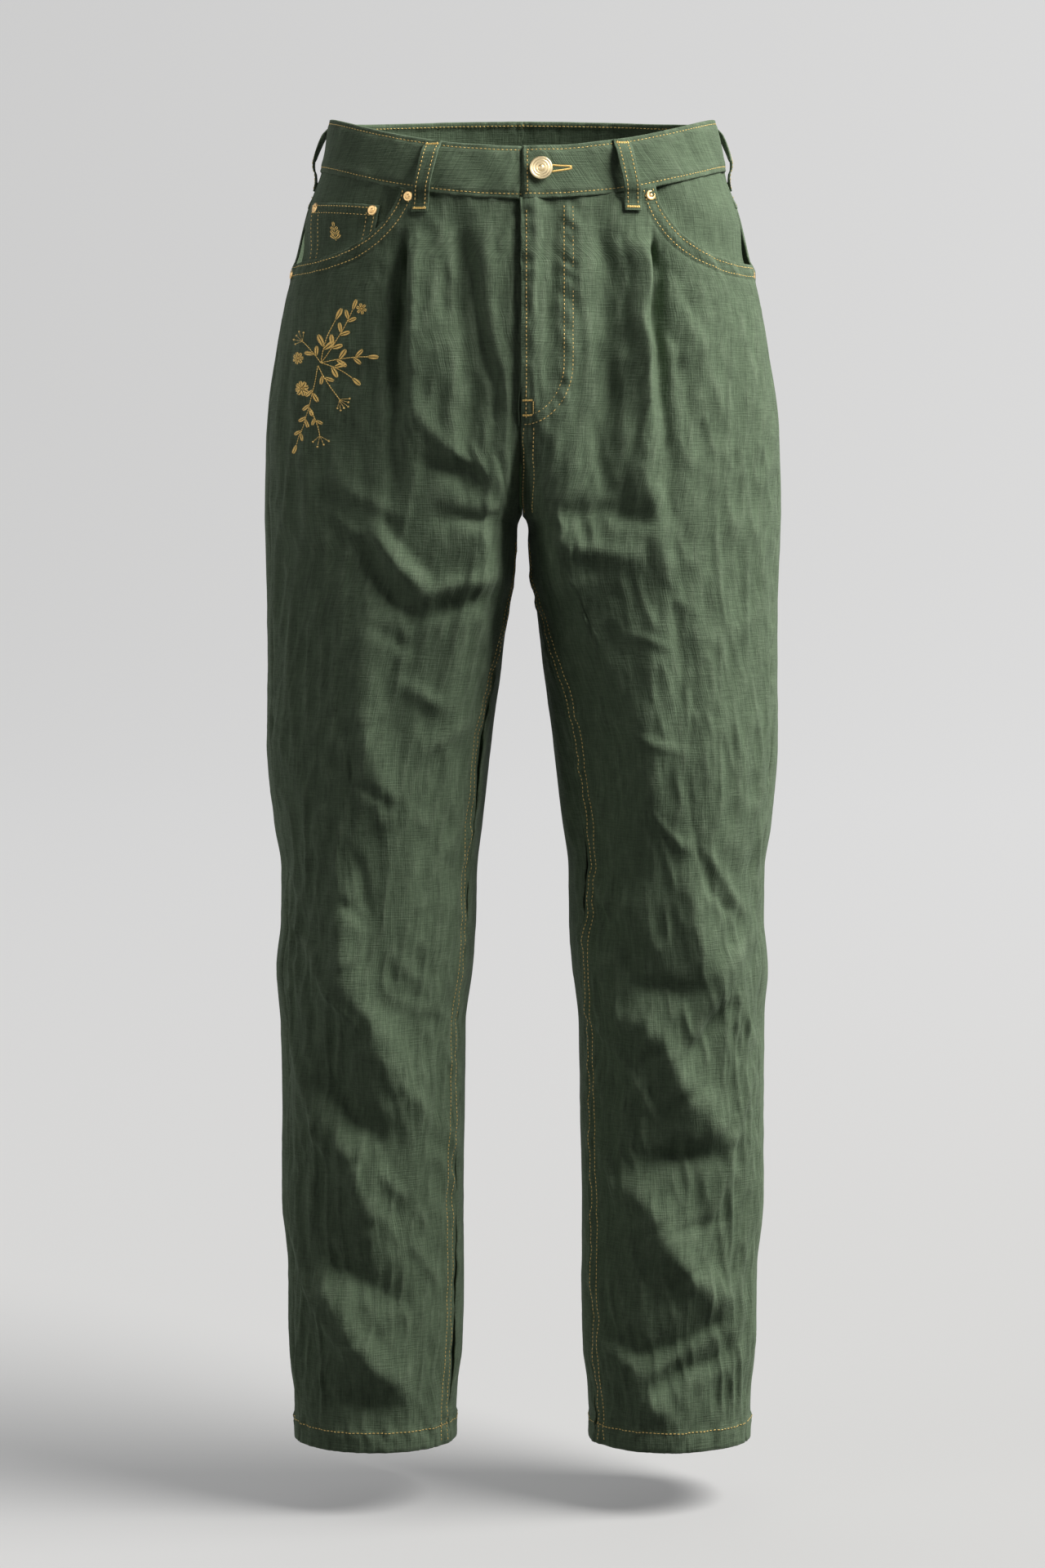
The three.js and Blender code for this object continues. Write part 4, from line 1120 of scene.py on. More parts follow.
# the paler denim of rubbed edges and crests; on the crests it is partly a painted highlight
DENIM_WORN_AND_HIGHLIT = (0.215, 0.270, 0.184, 1)
THREAD_GOLD = (0.84, 0.58, 0.19, 1)
BRASS = (0.86, 0.70, 0.42, 1)
COPPER = (0.88, 0.60, 0.28, 1)
SHEEN_TINT = (0.72, 0.86, 0.68, 1)
THREAD_TONE = 0.32  # how much a thread's tone departs from the cloth's


class Shader:
    """A material whose nodes are added one by one around its principled shader."""

    def __init__(self, name, **values):
        self.material = bpy.data.materials.new(name)
        self.material.use_nodes = True
        self.nodes = self.material.node_tree.nodes
        self.links = self.material.node_tree.links
        self.principled = self.nodes["Principled BSDF"]
        for socket, value in values.items():
            self.principled.inputs[socket.replace("_", " ")].default_value = value

    def add(self, kind, inputs, output=0, **settings):
        """Adds a node. An input is a value or another node's output, by name or by place."""
        node = self.nodes.new("ShaderNode" + kind)
        for key, value in settings.items():
            setattr(node, key, value)
        for socket, value in inputs.items():
            if isinstance(value, bpy.types.NodeSocket):
                self.links.new(value, node.inputs[socket])
            else:
                node.inputs[socket].default_value = value
        return node.outputs[output]

    def noise(self, where, size, detail=2.0, roughness=0.5):
        """Noise from 0 to 1 with bumps of that size in metres, along u and v."""
        scale = [1 / s for s in size] + [1] * (3 - len(size))
        place = self.add("Mapping", {"Vector": where, "Scale": scale})
        inputs = {"Vector": place, "Scale": 1.0, "Detail": detail, "Roughness": roughness}
        return self.add("TexNoise", inputs)

    def math(self, operation, a, b=0.0):
        return self.add("Math", {0: a, 1: b}, operation=operation)

    def remap(self, value, low, high, to_low, to_high):
        ends = {"From Min": low, "From Max": high, "To Min": to_low, "To Max": to_high}
        return self.add("MapRange", {"Value": value} | ends)

    def mix(self, factor, a, b, blend="MIX"):
        inputs = {0: factor, 6: a, 7: b}
        return self.add("Mix", inputs, output=2, data_type="RGBA", blend_type=blend)

    def bump(self, height, distance, strength=1.0):
        inputs = {"Height": height, "Distance": distance, "Strength": strength}
        self.links.new(self.add("Bump", inputs), self.principled.inputs["Normal"])


def denim_material():
    """A slubby green twill. Its threads run along u and v of the cloth, in metres."""
    s = Shader("denim", Roughness=0.82, Sheen_Weight=0.12, Sheen_Roughness=0.45)
    s.principled.inputs["Sheen Tint"].default_value = SHEEN_TINT
    s.principled.inputs["Specular IOR Level"].default_value = 0.12
    uv = s.add("UVMap", {}, uv_map="cloth")
    warp, weft, streak = (
        s.noise(uv, size, detail=3, roughness=0.6)
        for size in ((0.0010, 0.020), (0.016, 0.0010), (0.0034, 0.034))
    )
    cloud = s.noise(uv, (0.013, 0.024), detail=4, roughness=0.65)
    fleck = s.noise(uv, (0.0022, 0.0022), detail=2)
    wear_and_highlight = s.add("Attribute", {}, output="Fac", attribute_name="wear_and_highlight")
    threads = s.math("ADD", s.remap(warp, 0.3, 0.7, -0.5, 0.5), s.remap(weft, 0.3, 0.7, -0.5, 0.5))
    tone = s.math("MULTIPLY", threads, THREAD_TONE)
    for pattern, strength in ((streak, 0.16), (cloud, 0.14), (fleck, 0.06)):
        tone = s.math("ADD", tone, s.remap(pattern, 0.3, 0.7, -strength, strength))
    tone = s.math("ADD", tone, 1.0)
    # the attribute turns crests and edges paler: rubbed wear, and on the crests partly a painted highlight
    worn_and_highlit = s.math("MULTIPLY", wear_and_highlight, s.remap(cloud, 0.35, 0.65, 0.05, 0.4))
    colour = s.mix(worn_and_highlit, DENIM_GREEN, DENIM_WORN_AND_HIGHLIT)
    grey = s.add("CombineColor", {0: tone, 1: tone, 2: tone})
    s.links.new(s.mix(1.0, colour, grey, "MULTIPLY"), s.principled.inputs["Base Color"])
    s.bump(s.math("ADD", threads, s.math("MULTIPLY", fleck, 0.7)), 0.00022, 0.75)
    return s.material


def thread_material():
    return Shader("gold_thread", Roughness=0.38, Metallic=0.5, Base_Color=THREAD_GOLD).material


def metal_material(name, colour):
    s = Shader(name, Metallic=1.0, Roughness=0.42, Base_Color=colour)
    where = s.add("TexCoord", {}, output="Object")
    s.bump(s.noise(where, (0.0009, 0.0009, 0.0009)), 0.00005, 0.5)
    return s.material


# ------------------------------------------------------------------ sewing

STITCH = {"pitch": 3.2, "length": 2.1, "width": 0.34}
# How far the two rows along an edge or a seam lie from it.
ROWS = {
    "mouth": (2.4, 8.6),
    "centre_front": (1.8, 8.2),
    "centre_back": (2.6, 8.6),
    "inseam": (2.2, 8.2),
    "yoke": (2.4, 8.4),
    "back_pocket": (2.4, 8.4),
    "back_pocket_hem": (2.6, 12),
    "coin_pocket": (2.3, 7.5),
}


class Sewing:
    """Gathers stitches, each a short bent strand that dives into the cloth at both ends."""

    # share of the length, height over the cloth and thickness, of each ring of a strand
    RINGS = np.array([(0, -0.35, 0.35), (0.2, 0.4, 0.95), (0.8, 0.4, 0.95), (1, -0.35, 0.35)])
    SIDES = 5

    def __init__(self, name):
        self.name = name
        self.starts, self.ends, self.normals, self.widths = [], [], [], []

    def strands(self, starts, ends, normals, width=STITCH["width"]):
        self.starts.append(np.reshape(starts, (-1, 3)))
        self.ends.append(np.reshape(ends, (-1, 3)))
        self.normals.append(np.broadcast_to(normals, self.starts[-1].shape))
        self.widths.append(np.full(len(self.starts[-1]), width))

    def row(self, points, normals, pitch=STITCH["pitch"], length=STITCH["length"], width=None):
        """A row of stitches along a line of surface points."""
        step = np.linalg.norm(np.diff(points, axis=0), axis=-1)
        run = np.concatenate([[0], np.cumsum(step)])
        count = max(int((run[-1] + pitch - length) / pitch), 1)
        first = (run[-1] - count * pitch + pitch - length) / 2
        begin = first + np.arange(count) * pitch

        def at(values, where):
            return np.stack([np.interp(where, run, values[:, k]) for k in range(3)], axis=-1)

        self.strands(
            at(points, begin),
            at(points, begin + length),
            at(normals, begin + length / 2),
            width or STITCH["width"],
        )

    def build(self, material):
        starts, ends = np.concatenate(self.starts), np.concatenate(self.ends)
        normals, widths = np.concatenate(self.normals), np.concatenate(self.widths)
        normals = normals / np.linalg.norm(normals, axis=-1, keepdims=True)
        along = ends - starts
        across = np.cross(along, normals)
        across /= np.maximum(np.linalg.norm(across, axis=-1, keepdims=True), 1e-9)
        turn = np.linspace(0, TURN, self.SIDES, endpoint=False)
        share, height, thick = (self.RINGS[:, k][None, :, None, None] for k in range(3))
        radius = widths[:, None, None, None] * thick
        middle = starts[:, None, None] + along[:, None, None] * share
        middle = middle + normals[:, None, None] * widths[:, None, None, None] * height
        points = middle + across[:, None, None] * radius * np.cos(turn)[None, None, :, None]
        points = points + normals[:, None, None] * radius * 0.8 * np.sin(turn)[None, None, :, None]
        count, rings = len(starts), len(self.RINGS)
        index = np.arange(count * rings * self.SIDES).reshape(count, rings, self.SIDES)
        beside = np.roll(index, -1, axis=2)
        walls = np.stack([index[:, :-1], beside[:, :-1], beside[:, 1:], index[:, 1:]], axis=-1)
        faces = walls.reshape(-1, 4).tolist() + index[:, 0, ::-1].tolist() + index[:, -1].tolist()
        piece = mesh_object(self.name, points.reshape(-1, 3), faces, material)
        return piece


def surface_normals(place, z, angle, side):
    """Normals of the finished cloth, from points just beside each place."""
    across = place(z, angle + 0.006) - place(z, angle - 0.006)
    down = place(z - 0.8, angle) - place(z + 0.8, angle)
    normal = np.cross(down, across) * SIGN[side]
    return normal / np.maximum(np.linalg.norm(normal, axis=-1, keepdims=True), 1e-9)


def cloth_row(sewing, side, z, angle, lift=0.0, fine=1.0, lift_of=None, **settings):
    """A row on one side's cloth, along places given by z and angle."""
    place = placer(side, lift, fine, lift_of)
    z, angle = np.broadcast_arrays(np.asarray(z, float), np.asarray(angle, float))
    sewing.row(place(z, angle), surface_normals(place, z, angle, side), **settings)


def front_row(sewing, side, x, z, **settings):
    """The same on a front, along places given by x and z. One of them may be a single number."""
    cloth_row(sewing, side, z, angle_at(share_at(x, z)), **settings)


def beside_line(x, z, offset):
    """A line moved sideways in the front view, to the right of its direction."""
    dx, dz = np.gradient(x), np.gradient(z)
    length = np.hypot(dx, dz)
    return x + offset * dz / length, z - offset * dx / length


def mouth_line(side, offset):
    m = MOUTH[side]
    turn = np.linspace(0.02, math.pi / 2, 90)
    x = m["side"] - (m["side"] - m["top"]) * np.cos(turn)
    z = m["start"] - (m["start"] - m["low"]) * np.sin(turn)
    x, z = beside_line(x, z, offset)
    end_angle = outseam_angle(-112) - SEAM_TURN
    keep = (z < band_bottom(angle_at(share_at(x, z))) - 1) & (angle_at(share_at(x, z)) < end_angle)
    return x[keep], z[keep]


def sew_mouths(sewing, side):
    for offset in ROWS["mouth"]:
        front_row(sewing, side, *mouth_line(side, offset))


FLY_EDGE_ROW = 2.9


def sew_fly(sewing):
    """The fly's edge and the two lines of its J."""
    z = np.linspace(-74, FLY["bottom"] + 4, 160)
    front_row(sewing, "left", FLY_EDGE_ROW, z)
    for out in (0, FLY_J["apart"]):
        width, height = FLY_J["x"] + out, FLY_J["turn"] - FLY_J["end"] + out
        turn = np.linspace(0, math.pi / 2 - 0.04, 60)
        x = np.concatenate([np.full(110, width), width * np.cos(turn)[1:]])
        foot = FLY_J["turn"] - height * np.sin(turn)[1:]
        z = np.concatenate([np.linspace(-70, FLY_J["turn"], 110), foot])
        front_row(sewing, "left", x, z)


FLY_TACK = {"width": 8.2, "top": -214.5, "bottom": -225.5}


def sew_fly_tack(sewing):
    """The box of dense stitches that closes the foot of the fly."""
    for z in (FLY_TACK["top"], FLY_TACK["bottom"]):
        x = np.linspace(0.6, FLY_TACK["width"], 12)
        for shift in (-0.35, 0.35):
            front_row(sewing, "left", x, z + shift, pitch=1.6, length=1.9)
    z = np.linspace(FLY_TACK["top"], FLY_TACK["bottom"], 12)
    front_row(sewing, "left", FLY_TACK["width"], z, pitch=1.6, length=1.8)


def sew_centre_seams(sewing):
    z = np.linspace(FLY["bottom"] - 2, CROTCH_Z + 4, 60)
    for x in ROWS["centre_front"]:
        front_row(sewing, "left", x, z)


def sew_inseam(sewing, side):
    """Two rows down the front's felled edge."""
    z = np.linspace(-322, -OUTSEAM + 3, 320)
    radius = level_value("front", z) * 0.92
    for away in ROWS["inseam"]:
        cloth_row(sewing, side, z, inseam_angle(z) + away / radius + 0.03)


def sew_hem(sewing, side):
    z = HEM_LINE - 1.2
    start, end = inseam_angle(z), outseam_angle(z)
    cloth_row(sewing, side, z, np.linspace(start + 0.01, end - 0.02, 240))
    cloth_row(sewing, side, z, np.linspace(end + 0.02, TURN + start - 0.01, 240))


def sew_back(sewing, side):
    """The yoke's lower edge, the centre back and the back pocket."""
    angle = back_angle(-60, np.linspace(0.02, 0.995, 120))
    for down in ROWS["yoke"]:
        cloth_row(sewing, side, yoke_z(angle) + down, angle, lift=YOKE_LAP)
    z = np.linspace(yoke_z(TURN) - 4, CROTCH_Z + 30, 90)
    if side == "left":
        for x in ROWS["centre_back"]:
            cloth_row(sewing, side, z, TURN - angle_at(share_at(x, z)))
    sew_back_pocket(sewing, side)


def pocket_row(sewing, side, a, b):
    z, angle = back_pocket_places(a, b)
    cloth_row(sewing, side, z, angle, lift=back_pocket_lift(a, b) + 0.25)


def sew_back_pocket(sewing, side):
    width, height = BACK_POCKET["outer"] - BACK_POCKET["inner"], BACK_POCKET["height"]
    for inset in ROWS["back_pocket"]:
        a, b = inset / width, inset / height
        down = np.linspace(0.012, 1 - b, 70)
        across = np.linspace(a, 1 - a, 70)
        pocket_row(sewing, side, a, down)
        pocket_row(sewing, side, across, 1 - b)
        pocket_row(sewing, side, 1 - a, down[::-1])
    for down in ROWS["back_pocket_hem"]:
        pocket_row(sewing, side, np.linspace(0.015, 0.985, 70), down / height)


def sew_coin_pocket(sewing):
    width, height = COIN["top"][1] - COIN["top"][0] - 2, COIN["z"] - COIN["drop"] - 3

    def row(a, b):
        z, angle = coin_places(a, b)
        cloth_row(sewing, "right", z, angle, COIN_LIFT + 0.3, FACING_FINE, lift_of=facing_lift)

    for inset in ROWS["coin_pocket"]:
        row(np.linspace(0.03, 0.97, 60), inset / height)
        row(1 - inset / width, np.linspace(0.1, 0.95, 60))
        row(inset / width, np.linspace(0.1, 0.95, 60))


def sew_band(sewing):
    """Rows along both edges of the band, outside and inside, and one at its buttonhole end."""
    turns = np.linspace(OVERLAP_TURN + 0.02, 2 * TURN - 0.05, 900)
    top, bottom = BAND_ROWS, BAND_HEIGHT - BAND_ROWS - 0.2
    for down in (top, bottom):
        sewing.row(band_point(turns, down), band_outward(turns, down))
        sewing.row(band_point(turns, down, -BAND_WALL), -band_outward(turns, down))
    down = np.linspace(top, bottom, 24)
    turn = angle_at(3.4 / level_value("outer", BAND_Z))
    sewing.row(band_point(turn, down), band_outward(turn, down))


BACK_TACK = {"half": 8.5, "step": 0.55, "down": (1.0, 4.2), "stagger": 0.5, "radius": 91}


def sew_back_centre_tack(sewing):
    """The dense stitches of the back loop that show on the band's inside."""
    for x in np.arange(-BACK_TACK["half"], BACK_TACK["half"] + 0.1, BACK_TACK["step"]):
        turn = TURN - x / BACK_TACK["radius"]
        downs = np.array(BACK_TACK["down"]) + BACK_TACK["stagger"] * (round(x / BACK_TACK["step"]) % 2)
        start, end = band_point(turn, downs, -BAND_WALL)
        sewing.strands(start, end, -band_outward(turn, 3.0))


LOOP_ROWS = 3.9


def loop_surface(row, down, across):
    middle, normal, side = loop_frame(row, down, LOOP["wall"])
    return middle + side * np.reshape(across, (-1, 1)), normal


def sew_loop(sewing, row):
    """Two rows down the loop, and a bartack of close stitches across each end."""
    down = np.linspace(1.5, LOOP_LENGTH - 1.5, 60)
    for across in (-LOOP_ROWS, LOOP_ROWS):
        sewing.row(*loop_surface(row, down, across))
    half = LOOP["width"] / 2 - 0.7
    for end in (3.2, LOOP_LENGTH - 2.5):
        for step in (-0.45, 0, 0.45):
            line = loop_surface(row, np.full(12, end + step), np.linspace(-half, half, 12))
            sewing.row(*line, pitch=1.7, length=2.0)


BUTTON = {"x": 13.5, "down": 17, "gap": 0.5}
BUTTONHOLE = {"from": 21, "to": 35.5, "wide": 2.3, "narrow": 0.9, "strand": 0.26}


def band_at(x, down, lift=0.0):
    turn = angle_at(x / level_value("outer", BAND_Z))
    return band_point(turn, down, lift), band_outward(turn, down)


def sew_buttonhole(sewing):
    """Close stitches across both lips of the slit that the button has slid along, and a bar."""
    xs = np.arange(BUTTONHOLE["from"], BUTTONHOLE["to"], 0.42)
    share = (xs - BUTTONHOLE["from"]) / (BUTTONHOLE["to"] - BUTTONHOLE["from"])
    half = lerp(BUTTONHOLE["wide"], BUTTONHOLE["narrow"], share)
    for sign in (-1, 1):
        near, _ = band_at(xs, BUTTON["down"] + sign * (half - 0.7))
        far, normals = band_at(xs, BUTTON["down"] + sign * (half + 0.9))
        sewing.strands(near, far, normals, BUTTONHOLE["strand"])
    for x in BUTTONHOLE["to"] + np.array([0.0, 0.45, 0.9]):
        ends, normals = band_at(x, BUTTON["down"] + np.array([-1.7, 1.7]))
        sewing.strands(ends[0], ends[1], normals[0], BUTTONHOLE["strand"])


# ------------------------------------------------------------------ embroidery

# Sprigs on the right hip, in mm across and down on the front. A stem's columns are where it
# starts, its direction in degrees from straight up, its length and how far it bends over; then
# how many pairs of leaves it carries, their length, and whether it ends in berries.
STEMS = [
    (152, -186, 38, 46, -14, 3, 10.5, 0),
    (152, -186, 8, 34, 22, 1, 12.5, 0),
    (152, -186, 76, 36, 16, 2, 11.0, 0),
    (152, -186, 106, 26, 22, 1, 11.0, 0),
    (152, -186, -34, 22, -16, 1, 9.5, 5),
    (154, -188, 156, 30, -16, 1, 8.5, 6),
    (154, -188, 190, 62, 14, 4, 9.5, 0),
    (160, -222, 150, 20, 24, 1, 7.0, 4),
]
# x, z, radius and petals
FLOWERS = [(121, -146, 3.6, 6), (170, -182, 4.2, 7), (167, -205, 5.2, 8)]


class Embroidery:
    """Draws strands on a flat plan of one side's front and lays them on its cloth."""

    def __init__(self, sewing, side, lift, fine=1.0, lift_of=None):
        self.sewing, self.side = sewing, side
        self.place = placer(side, lift, fine, lift_of)

    def strands(self, starts, ends, width=0.27):
        starts, ends = np.reshape(starts, (-1, 2)), np.reshape(ends, (-1, 2))
        start, end, middle = (
            (flat[:, 1], angle_at(share_at(flat[:, 0], flat[:, 1])))
            for flat in (starts, ends, (starts + ends) / 2)
        )
        normals = surface_normals(self.place, *middle, self.side)
        self.sewing.strands(self.place(*start), self.place(*end), normals, width)

    def line(self, points, width=0.3):
        self.strands(points[:-1], points[1:], width)

    def leaf(self, foot, turn, length, plump=0.33):
        """Satin stitches slant out from the midrib to both edges."""
        along = np.array([math.sin(turn), math.cos(turn)])
        side = np.array([along[1], -along[0]])
        share = np.arange(0.04, 0.9, 0.42 / length)
        half = plump * length * 0.5 * np.sin(np.pi * share**0.8) ** 0.9
        rib = foot + np.outer(share * length, along)
        for sign in (-1, 1):
            edge = rib + np.outer(half, side) * sign + np.outer(half * 0.9, along)
            self.strands(rib + np.outer(np.full(share.shape, 0.2), side) * sign, edge)
            self.line(edge[::3], 0.26)

    def berry(self, centre, radius=0.95):
        for turn in np.linspace(0, math.pi, 5, endpoint=False):
            arm = radius * np.array([math.cos(turn), math.sin(turn)])
            self.strands(centre - arm, centre + arm, 0.32)

    def flower(self, centre, radius, petals):
        for k in range(petals):
            turn = k * TURN / petals + 0.2
            foot = centre + 0.7 * np.array([math.sin(turn), math.cos(turn)])
            self.leaf(foot, turn, radius, 0.55)
        self.berry(centre, 0.8)

    def stem(self, row):
        """x grows outwards from the middle, so a front view shows a right side's stems mirrored."""
        x, z, turn, length, bend, pairs, leaf, berries = row
        share = np.linspace(0, 1, max(int(length / 1.8), 4))
        heading = np.radians(turn + bend * share)
        step = length / (len(share) - 1)
        walk = np.stack([-np.sin(heading), np.cos(heading)], axis=-1)[:-1] * step
        points = np.array([x, z]) + np.concatenate([np.zeros((1, 2)), np.cumsum(walk, axis=0)])
        self.line(points, 0.42)
        for k in range(pairs):
            at = 0.32 + 0.6 * k / max(pairs - 0.5, 1)
            i = int(at * (len(points) - 1))
            size = leaf * (1 - 0.3 * at)
            for sign, later in ((-1, 0), (1, 1)):
                foot = points[min(i + later, len(points) - 1)]
                self.leaf(foot, -heading[i] + sign * 0.72, size)
        if berries:
            self.spray(points[-1], -heading[-1], berries)
        else:
            self.leaf(points[-1], -heading[-1], leaf * 0.85)

    def spray(self, foot, turn, berries):
        for k in range(berries):
            spread = turn + lerp(-0.95, 0.95, k / (berries - 1))
            reach = 7.5 - 1.6 * abs(k / (berries - 1) - 0.5) + 1.2 * (k % 2)
            tip = foot + reach * np.array([math.sin(spread), math.cos(spread)])
            self.line(np.array([lerp(foot, tip, t) for t in (0, 0.45, 0.9)]), 0.22)
            self.berry(tip, 0.85)


def embroider_hip(sewing):
    art = Embroidery(sewing, "right", lift=0.05)
    for row in STEMS:
        art.stem(row)
    for x, z, radius, petals in FLOWERS:
        art.flower(np.array([x, z]), radius, petals)


def embroider_coin_pocket(sewing):
    art = Embroidery(sewing, "right", COIN_LIFT + 0.35, FACING_FINE, facing_lift)
    foot, way, height, plump = np.array([142.0, -94.0]), np.array([0.05, 1.0]), 10, 0.5
    art.line(foot + np.outer(np.linspace(0, height, 7), way))
    for k in range(3):
        for sign in (-1, 1):
            art.leaf(foot + way * (1.5 + 3.2 * k), sign * 0.85, 5.2 - 0.7 * k, plump)
    art.leaf(foot + way * height, way[0], 4.2, plump)


# ------------------------------------------------------------------ brass

# radius and height of each ring, from the foot's middle to the crown's
BUTTON_PROFILE = [
    (0, 0),
    (3.2, 0),
    (3.2, 1.6),
    (7.7, 1.7),
    (8.4, 2.0),
    (8.6, 2.5),
    (8.5, 3.1),
    (8.0, 3.6),
    (7.5, 3.7),
    (7.1, 3.5),
    (6.7, 3.2),
    (6.2, 3.25),
    (5.9, 3.55),
    (5.4, 3.6),
    (5.0, 3.3),
    (4.4, 3.2),
    (3.9, 3.45),
    (3.4, 3.5),
    (2.9, 3.2),
    (2.3, 3.15),
    (1.9, 3.7),
    (1.2, 4.05),
    (0, 4.15),
]
RIVET_PROFILE = [
    (0, 0),
    (3.7, 0),
    (3.9, 0.35),
    (3.75, 0.75),
    (3.2, 1.05),
    (2.5, 1.0),
    (1.9, 0.65),
    (1.5, 0.7),
    (1.25, 1.2),
    (0.7, 1.5),
    (0, 1.6),
]
# name, side, whether it sits on the coin pocket, x, z and the gap under its flat foot
RIVETS = [
    ("rivet_mouth_top_left", "left", False, 95.5, -62, 0.6),
    ("rivet_mouth_top_right", "right", False, 85, -63, 0.6),
    ("rivet_mouth_side_left", "left", False, 176.5, -117, 0.6),
    ("rivet_mouth_side_right", "right", False, 176.5, -117, 0.6),
    ("rivet_coin_inner", "right", True, 112.5, -72.5, 1),
    ("rivet_coin_outer", "right", True, 156.5, -68.5, -0.1),
]


def turned(name, profile, foot, normal, material, segments=72):
    """A turned part with its foot at a point and its axis along a normal."""
    axis = Vector(normal).normalized()
    side = axis.cross(Vector((0, 0, 1))).normalized()
    up = axis.cross(side)
    turn = np.linspace(0, TURN, segments, endpoint=False)
    ring = np.outer(np.cos(turn), side) + np.outer(np.sin(turn), up)
    points = [np.array(foot)]
    points += [points[0] + ring * radius + np.array(axis) * height for radius, height in profile[1:-1]]
    points.append(points[0] + np.array(axis) * profile[-1][1])
    last = 1 + segments * (len(profile) - 2)
    index = np.arange(1, last).reshape(-1, segments)
    beside = np.roll(index, -1, axis=1)
    walls = np.stack([index[:-1], beside[:-1], beside[1:], index[1:]], axis=-1).reshape(-1, 4)
    faces = walls.tolist()
    faces += [[0, b, a] for a, b in zip(index[0], beside[0])]
    faces += [[last, a, b] for a, b in zip(index[-1], beside[-1])]
    piece = mesh_object(name, np.vstack([np.atleast_2d(p) for p in points]), faces, material, sharp=50)
    recalculate_outward(piece)
    return piece


def brass_parts(pale, copper):
    """The waist button on the band and the rivets at the mouths and the coin pocket."""
    point, normal = band_at(BUTTON["x"], BUTTON["down"], BUTTON["gap"])
    button = turned("waist_button_brass", BUTTON_PROFILE, point.ravel(), normal.ravel(), pale)
    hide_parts("waist_button")
    for name, side, on_coin_pocket, x, z, gap in RIVETS:
        angle = angle_at(share_at(x, z))
        under = facing_lift(side, z, angle) + COIN_LIFT if on_coin_pocket else 0.0
        foot = cloth(side, z, angle, under + gap, fine=0.0)
        axis = outward(side, z, angle)
        rivet = turned(f"{name}_brass", RIVET_PROFILE, foot, axis, copper, 40)
        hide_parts(name)


# ------------------------------------------------------------------ studio

FLOOR_Z = -1085
STAGE = {"floor": 5500, "bend": 2500, "top": 6000}  # the floor's radius, the bend's and the height
# The paper's tone is what shows, on the left and on the right. The right is painted lighter, as the key
# light on that side would make it.
PAPER = {"albedo": 0.44, "key": 0.93, "left": 0.585, "right": 0.668}
WORLD = {"front": 0.045, "back": 0.4}  # the sky is brighter behind, where no light stands
# A light's turn from the front to the right, its height in degrees, distance, size, and power,
# and whether it lights cloth. The card only shows in brass and in shiny thread.
LIGHTS = [
    ("key", 70, 48, 4.4, 2.6, 290, True),
    ("fill", -62, 12, 4.2, 2.2, 16, True),
    ("card", -40, 28, 3.0, 1.5, 9, False),
]
KEY_LIGHT = dict(zip(("name", "turn", "height", "distance", "size", "power", "on_cloth"), LIGHTS[0]))
LIGHT_COLOUR = (1.0, 0.985, 0.96)
SKY_COLOUR = (0.97, 0.98, 1.0, 1)
CAMERA = {"at": (0, -2.82, -0.252), "aim": (0, 0, -0.512), "lens": 82.97, "sensor": 36}
STUDIO_CENTRE = (0, 0, -0.5)


def look_at(obj, target):
    direction = Vector(target) - obj.location
    obj.rotation_euler = direction.to_track_quat("-Z", "Y").to_euler()


def backdrop():
    """A round floor that sweeps up into a wall on all sides, beyond the lights."""
    floor = np.linspace(1, STAGE["floor"], 12)
    way = np.linspace(0, 1, 64)
    slope = math.pi / 2 * smooth(way, 0, 1)
    step = STAGE["bend"] * math.pi / 2 / len(way)
    bend, rise = STAGE["floor"] + np.cumsum(step * np.cos(slope)), np.cumsum(step * np.sin(slope))
    radius = np.concatenate([floor, bend, bend[-1:]])[:, None]
    height = np.concatenate([0 * floor, rise, [STAGE["top"]]])[:, None]
    turn = np.linspace(0, TURN, 73)
    x, y, z = radius * np.cos(turn), radius * np.sin(turn), FLOOR_Z + height + 0 * turn
    points = np.stack([x, y, z], axis=-1)
    index = np.arange(points[..., 0].size).reshape(points.shape[:2])
    mesh = bpy.data.meshes.new("backdrop")
    mesh.from_pydata((points.reshape(-1, 3) * MM).tolist(), [], quads(index, True))
    mesh.polygons.foreach_set("use_smooth", np.ones(len(mesh.polygons), bool))
    mesh.materials.append(paper_material())
    obj = bpy.data.objects.new("backdrop", mesh)
    obj.visible_diffuse = False  # it lends the cloth no light of its own
    bpy.context.scene.collection.objects.link(obj)


